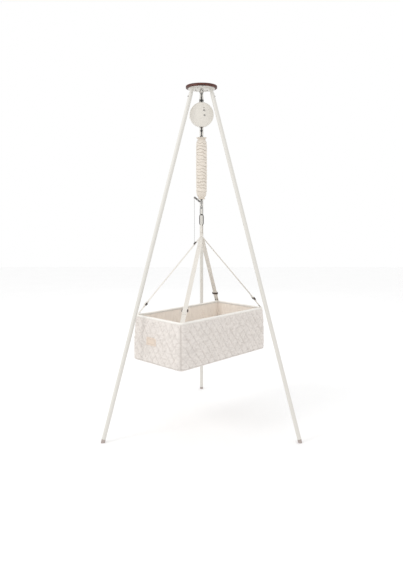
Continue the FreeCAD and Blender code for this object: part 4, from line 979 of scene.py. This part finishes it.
# ---- spring and cover
def make_cover():
    """Cotton sleeve ruched over the coil, drawn in under a frill at both ends."""
    low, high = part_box("spring_cover")
    outer = (high.x - low.x) / 2
    columns, count, inner_count = 200, 440, 40
    folds, fold_height = 19, 6.0 * MM
    frill_pleats, neck_pleats = 17, 26
    turns = even_turns(columns)
    circle = np.stack([np.cos(turns), np.sin(turns), np.zeros(columns)], -1)
    span = high.z - low.z
    profile_z = np.array([0, 0.010, 0.022, 0.045, 0.065, 0.10, 0.14, 0.5,
                          0.88, 0.925, 0.945, 0.965, 0.98, 0.995, 1.0])
    profile_r = np.array([0.60, 0.62, 0.48, 0.68, 0.82, 0.90, 0.96, 1.0,
                          0.97, 0.90, 0.80, 0.62, 0.72, 0.86, 0.84])
    rows, crease_shades = [], []
    for share in np.linspace(0, 1, count):
        radius = outer * np.interp(share, profile_z, profile_r)
        spot = AXIS + circle * outer + UP * (low.z + span * share)
        wobble = (0.33 * noise(spot, 0.020, 61) + 0.22 * noise(spot, 0.009, 62)
                  + 0.10 * np.sin(turns * 3 + 5 * share))
        phase = folds * share + turns / (2 * math.pi) + wobble
        gather = np.abs(np.sin(math.pi * phase))
        body = smooth(share, 0.06, 0.14) * (1 - smooth(share, 0.90, 0.95))
        bulge = (gather ** 0.55 - 0.75) * fold_height * body
        strong = 0.75 + 0.35 * noise(spot, 0.03, 63)
        pleat_noise = noise(circle * 4.5 + UP * share * 3, 1.0, 64)
        frill_low = 1 - smooth(share, 0.008, 0.020)
        frill_high = smooth(share, 0.970, 0.985)
        pleats = np.sin(turns * frill_pleats + 2.2 * pleat_noise)
        frill = (frill_low * 2.6 + frill_high * 3.0) * MM * pleats
        neck = (1 - body) * (1 - frill_low) * (1 - frill_high)
        necking = 0.9 * MM * np.sin(turns * neck_pleats + 1.5 * pleat_noise) * neck
        tiny = 0.5 * MM * noise(spot * (1, 1, 1.8), 5 * MM, 65) * body
        reach = radius + bulge * strong + frill + necking + tiny
        droop = 1.5 * MM * noise(spot, 0.02, 66) * body
        rows.append(AXIS + circle * reach[:, None]
                    + UP * (low.z + span * share + droop)[:, None])
        # painted shade in the valleys of the ruching, between the frill pleats and at the neck
        valley = (1 - gather) ** 3 * body
        crease_shades.append(np.clip(valley + 0.8 * (0.5 - 0.5 * pleats) * (frill_low + frill_high)
                               + 0.2 * neck, 0, 1))
    skin, low_bore, high_bore = 1.2 * MM, 10.4 * MM, 14.3 * MM
    for share in np.linspace(1, 0, inner_count):
        radius = outer * np.interp(share, profile_z, profile_r) - 2.6 * MM
        thin = min(radius, outer - 4 * MM) - skin
        least = high_bore if share > 0.9 else low_bore
        rows.append(AXIS + circle * max(thin, least) + UP * (low.z + span * share))
        # painted shade on the inside of the sleeve
        crease_shades.append(np.full(columns, 0.6))
    cover = new_object("gathered_cover", np.concatenate(rows),
                       grid_faces(len(rows), columns, round_rows=True), np.concatenate(crease_shades))
    finished(cover, "cotton", None, "spring_cover")
    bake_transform(cover)


def make_coil():
    """Open steel coil between the two end fittings."""
    low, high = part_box("spring")
    wire = 2.0 * MM
    radius = (high.x - low.x) / 2 - wire
    turns_count, per_turn, sides = 20, 48, 12
    total = turns_count * per_turn
    angle = np.arange(total + 1) * 2 * math.pi / per_turn
    rise = np.linspace(low.z + wire, high.z - wire, total + 1)
    path = AXIS + np.stack([radius * np.cos(angle), radius * np.sin(angle), rise], -1)
    _, across, upward = frames_along(path, UP)
    ring = even_turns(sides)
    section = np.broadcast_to(np.stack([np.cos(ring), np.sin(ring)], -1) * wire,
                              (total + 1, sides, 2))
    coil = new_object("coil_spring", swept(path, across, upward, section).reshape(-1, 3),
                      grid_faces(total + 1, sides))
    finished(coil, "steel", None, "spring")
    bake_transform(coil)


make_cover()
make_coil()


# ---- safety line and label
def make_line():
    """Twisted safety line between the arm above the swivel and its clip."""
    low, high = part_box("safety_cord")
    middle = np.array([(low.x + high.x) / 2, (low.y + high.y) / 2, 0])
    thick = (high.x - low.x) / 2
    rows, strands, sides = 420, 3, 30
    ring = even_turns(sides)
    lay = 7 * MM
    points, crease_shades = [], []
    for level in np.linspace(high.z, low.z, rows):
        twist = 2 * math.pi * (high.z - level) / lay / strands
        lobes = np.abs(np.cos(strands * (ring - twist) / 2))
        reach = thick * (0.72 + 0.28 * lobes)
        bow = 1.6 * MM * math.sin(math.pi * (high.z - level) / (high.z - low.z))
        points.append(middle + np.array([bow * 0.6, -bow, level])
                      + np.stack([reach * np.cos(ring), reach * np.sin(ring), 0 * ring], -1))
        # painted shade in the grooves between the strands
        crease_shades.append(1 - lobes)
    line = new_object("safety_line", np.concatenate(points), grid_faces(rows, sides),
                      np.concatenate(crease_shades))
    finished(line, "cord_grey", None, "safety_cord")
    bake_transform(line)


make_line()


def make_label():
    """Leather patch with a debossed frame and a stitched border."""
    centre, axes, half = slab(node_points("label_patch"))
    side = axes[0] * (1 if axes[0][0] > 0 else -1)
    out = axes[2] * (1 if axes[2] @ (centre - AXIS) > 0 else -1)
    up = np.cross(out, side)
    up *= 1 if up[2] > 0 else -1
    columns, rows = 90, 54
    radius = 4 * MM
    across = np.linspace(-1, 1, columns) * half[0]
    high = np.linspace(-1, 1, rows) * half[1]
    grid_x, grid_y = np.meshgrid(across, high)
    excess_x = np.maximum(np.abs(grid_x) - (half[0] - radius), 0)
    excess_y = np.maximum(np.abs(grid_y) - (half[1] - radius), 0)
    corner = np.hypot(excess_x, excess_y)
    pull = np.where((excess_x > 0) & (excess_y > 0),
                    np.minimum(1, radius / np.maximum(corner, 1e-9)), 1)
    grid_x = np.sign(grid_x) * (np.minimum(np.abs(grid_x), half[0] - radius) + excess_x * pull)
    grid_y = np.sign(grid_y) * (np.minimum(np.abs(grid_y), half[1] - radius) + excess_y * pull)
    to_edge = np.minimum(half[0] - np.abs(grid_x), half[1] - np.abs(grid_y))
    frame_line = bell(to_edge - 9 * MM, 0.7 * MM)
    bow = 1.5 * MM * (1 - (grid_x / half[0]) ** 2)
    thick = 2.6 * MM
    top = thick * smooth(to_edge, -0.5 * MM, 1.6 * MM) - 0.4 * MM * frame_line + bow
    swell = 4.6 * MM
    flat = centre + grid_x[..., None] * side + grid_y[..., None] * up
    face = flat + (top + swell)[..., None] * out
    back = flat + (bow + swell - 1.0 * MM)[..., None] * out
    rim = ([(0, column) for column in range(columns)]
           + [(row, columns - 1) for row in range(1, rows)]
           + [(rows - 1, column) for column in range(columns - 2, -1, -1)]
           + [(row, 0) for row in range(rows - 2, 0, -1)])
    size = rows * columns
    faces = grid_faces(rows, columns, False)
    faces += [[index + size for index in reversed(quad)] for quad in faces]
    for (row, column), (next_row, next_column) in zip(rim, rim[1:] + rim[:1]):
        first, second = row * columns + column, next_row * columns + next_column
        faces.append([second, first, first + size, second + size])
    # the debossed frame line is marked for painted shade
    label = new_object("label_leather_patch",
                       np.concatenate([face.reshape(-1, 3), back.reshape(-1, 3)]), faces,
                       np.concatenate([frame_line.ravel(), np.zeros(size)]))
    finished(label, "label_leather", "cradle", "label_patch")
    inset = 3.6 * MM
    sewn = []
    spots = [(1, 1), (-1, 1), (-1, -1), (1, -1), (1, 1)]
    for (x1, y1), (x2, y2) in zip(spots, spots[1:]):
        run = []
        for share in np.linspace(0.03, 0.97, 30):
            x = (x1 + (x2 - x1) * share) * (half[0] - inset)
            y = (y1 + (y2 - y1) * share) * (half[1] - inset)
            height = swell + thick + 1.5 * MM * (1 - (x / half[0]) ** 2)
            run.append(centre + side * x + up * y + out * height)
        sewn += stitches(run, np.array([out, out]), 3.0 * MM, 2.1 * MM, 0.55 * MM)
    finished(joined("label_stitches", sewn), "label_leather", "cradle", look="thread")


make_label()


# ---- floor, light and camera
def make_stage():
    """A plain pale floor."""
    side, drop = 18.0, 0.5 * MM
    bpy.ops.mesh.primitive_plane_add(size=side, location=(0, 0, -drop))
    floor = bpy.context.object
    floor.name = "floor"
    paint = Paint("floor_paint")
    grain = paint.noise(0.4, 3.0)
    tone = paint.mix(grain, (0.95, 0.95, 0.95), (0.98, 0.98, 0.98))
    floor.data.materials.append(paint.done(tone, 0.9))


def area_light(name, place, target, size, power):
    data = bpy.data.lights.new(name, "AREA")
    data.shape = "DISK"
    data.size = size
    data.energy = power
    light = bpy.data.objects.new(name, data)
    light.location = place
    light.rotation_euler = (Vector(target) - Vector(place)).to_track_quat("-Z", "Y").to_euler()
    bpy.context.scene.collection.objects.link(light)


make_stage()
area_light("key", (-3.4, -2.2, 3.6), (0, -0.1, 0.9), 1.6, 42)
area_light("back", (0.5, 4.0, 3.4), (0, 0, 1.2), 3.0, 12)
world = bpy.data.worlds.new("studio")
world.use_nodes = True
world.node_tree.nodes["Background"].inputs["Color"].default_value = (1.0, 1.0, 1.0, 1)
world.node_tree.nodes["Background"].inputs["Strength"].default_value = 1.0
bpy.context.scene.world = world
bpy.context.scene.view_settings.view_transform = "Standard"

LENS, SENSOR = 34.60, 36.0
CAMERA_DISTANCE, CAMERA_HEIGHT = 3.1098, 1.2183
CAMERA_DIP = 7.805
camera_data = bpy.data.cameras.new("camera")
camera_data.lens = LENS
camera_data.sensor_width = SENSOR
camera = bpy.data.objects.new("camera", camera_data)
camera.location = (0.0, AXIS[1] - CAMERA_DISTANCE, CAMERA_HEIGHT)
camera.rotation_euler = (math.radians(90 - CAMERA_DIP), 0.0, 0.0)
bpy.context.scene.collection.objects.link(camera)
bpy.context.scene.camera = camera
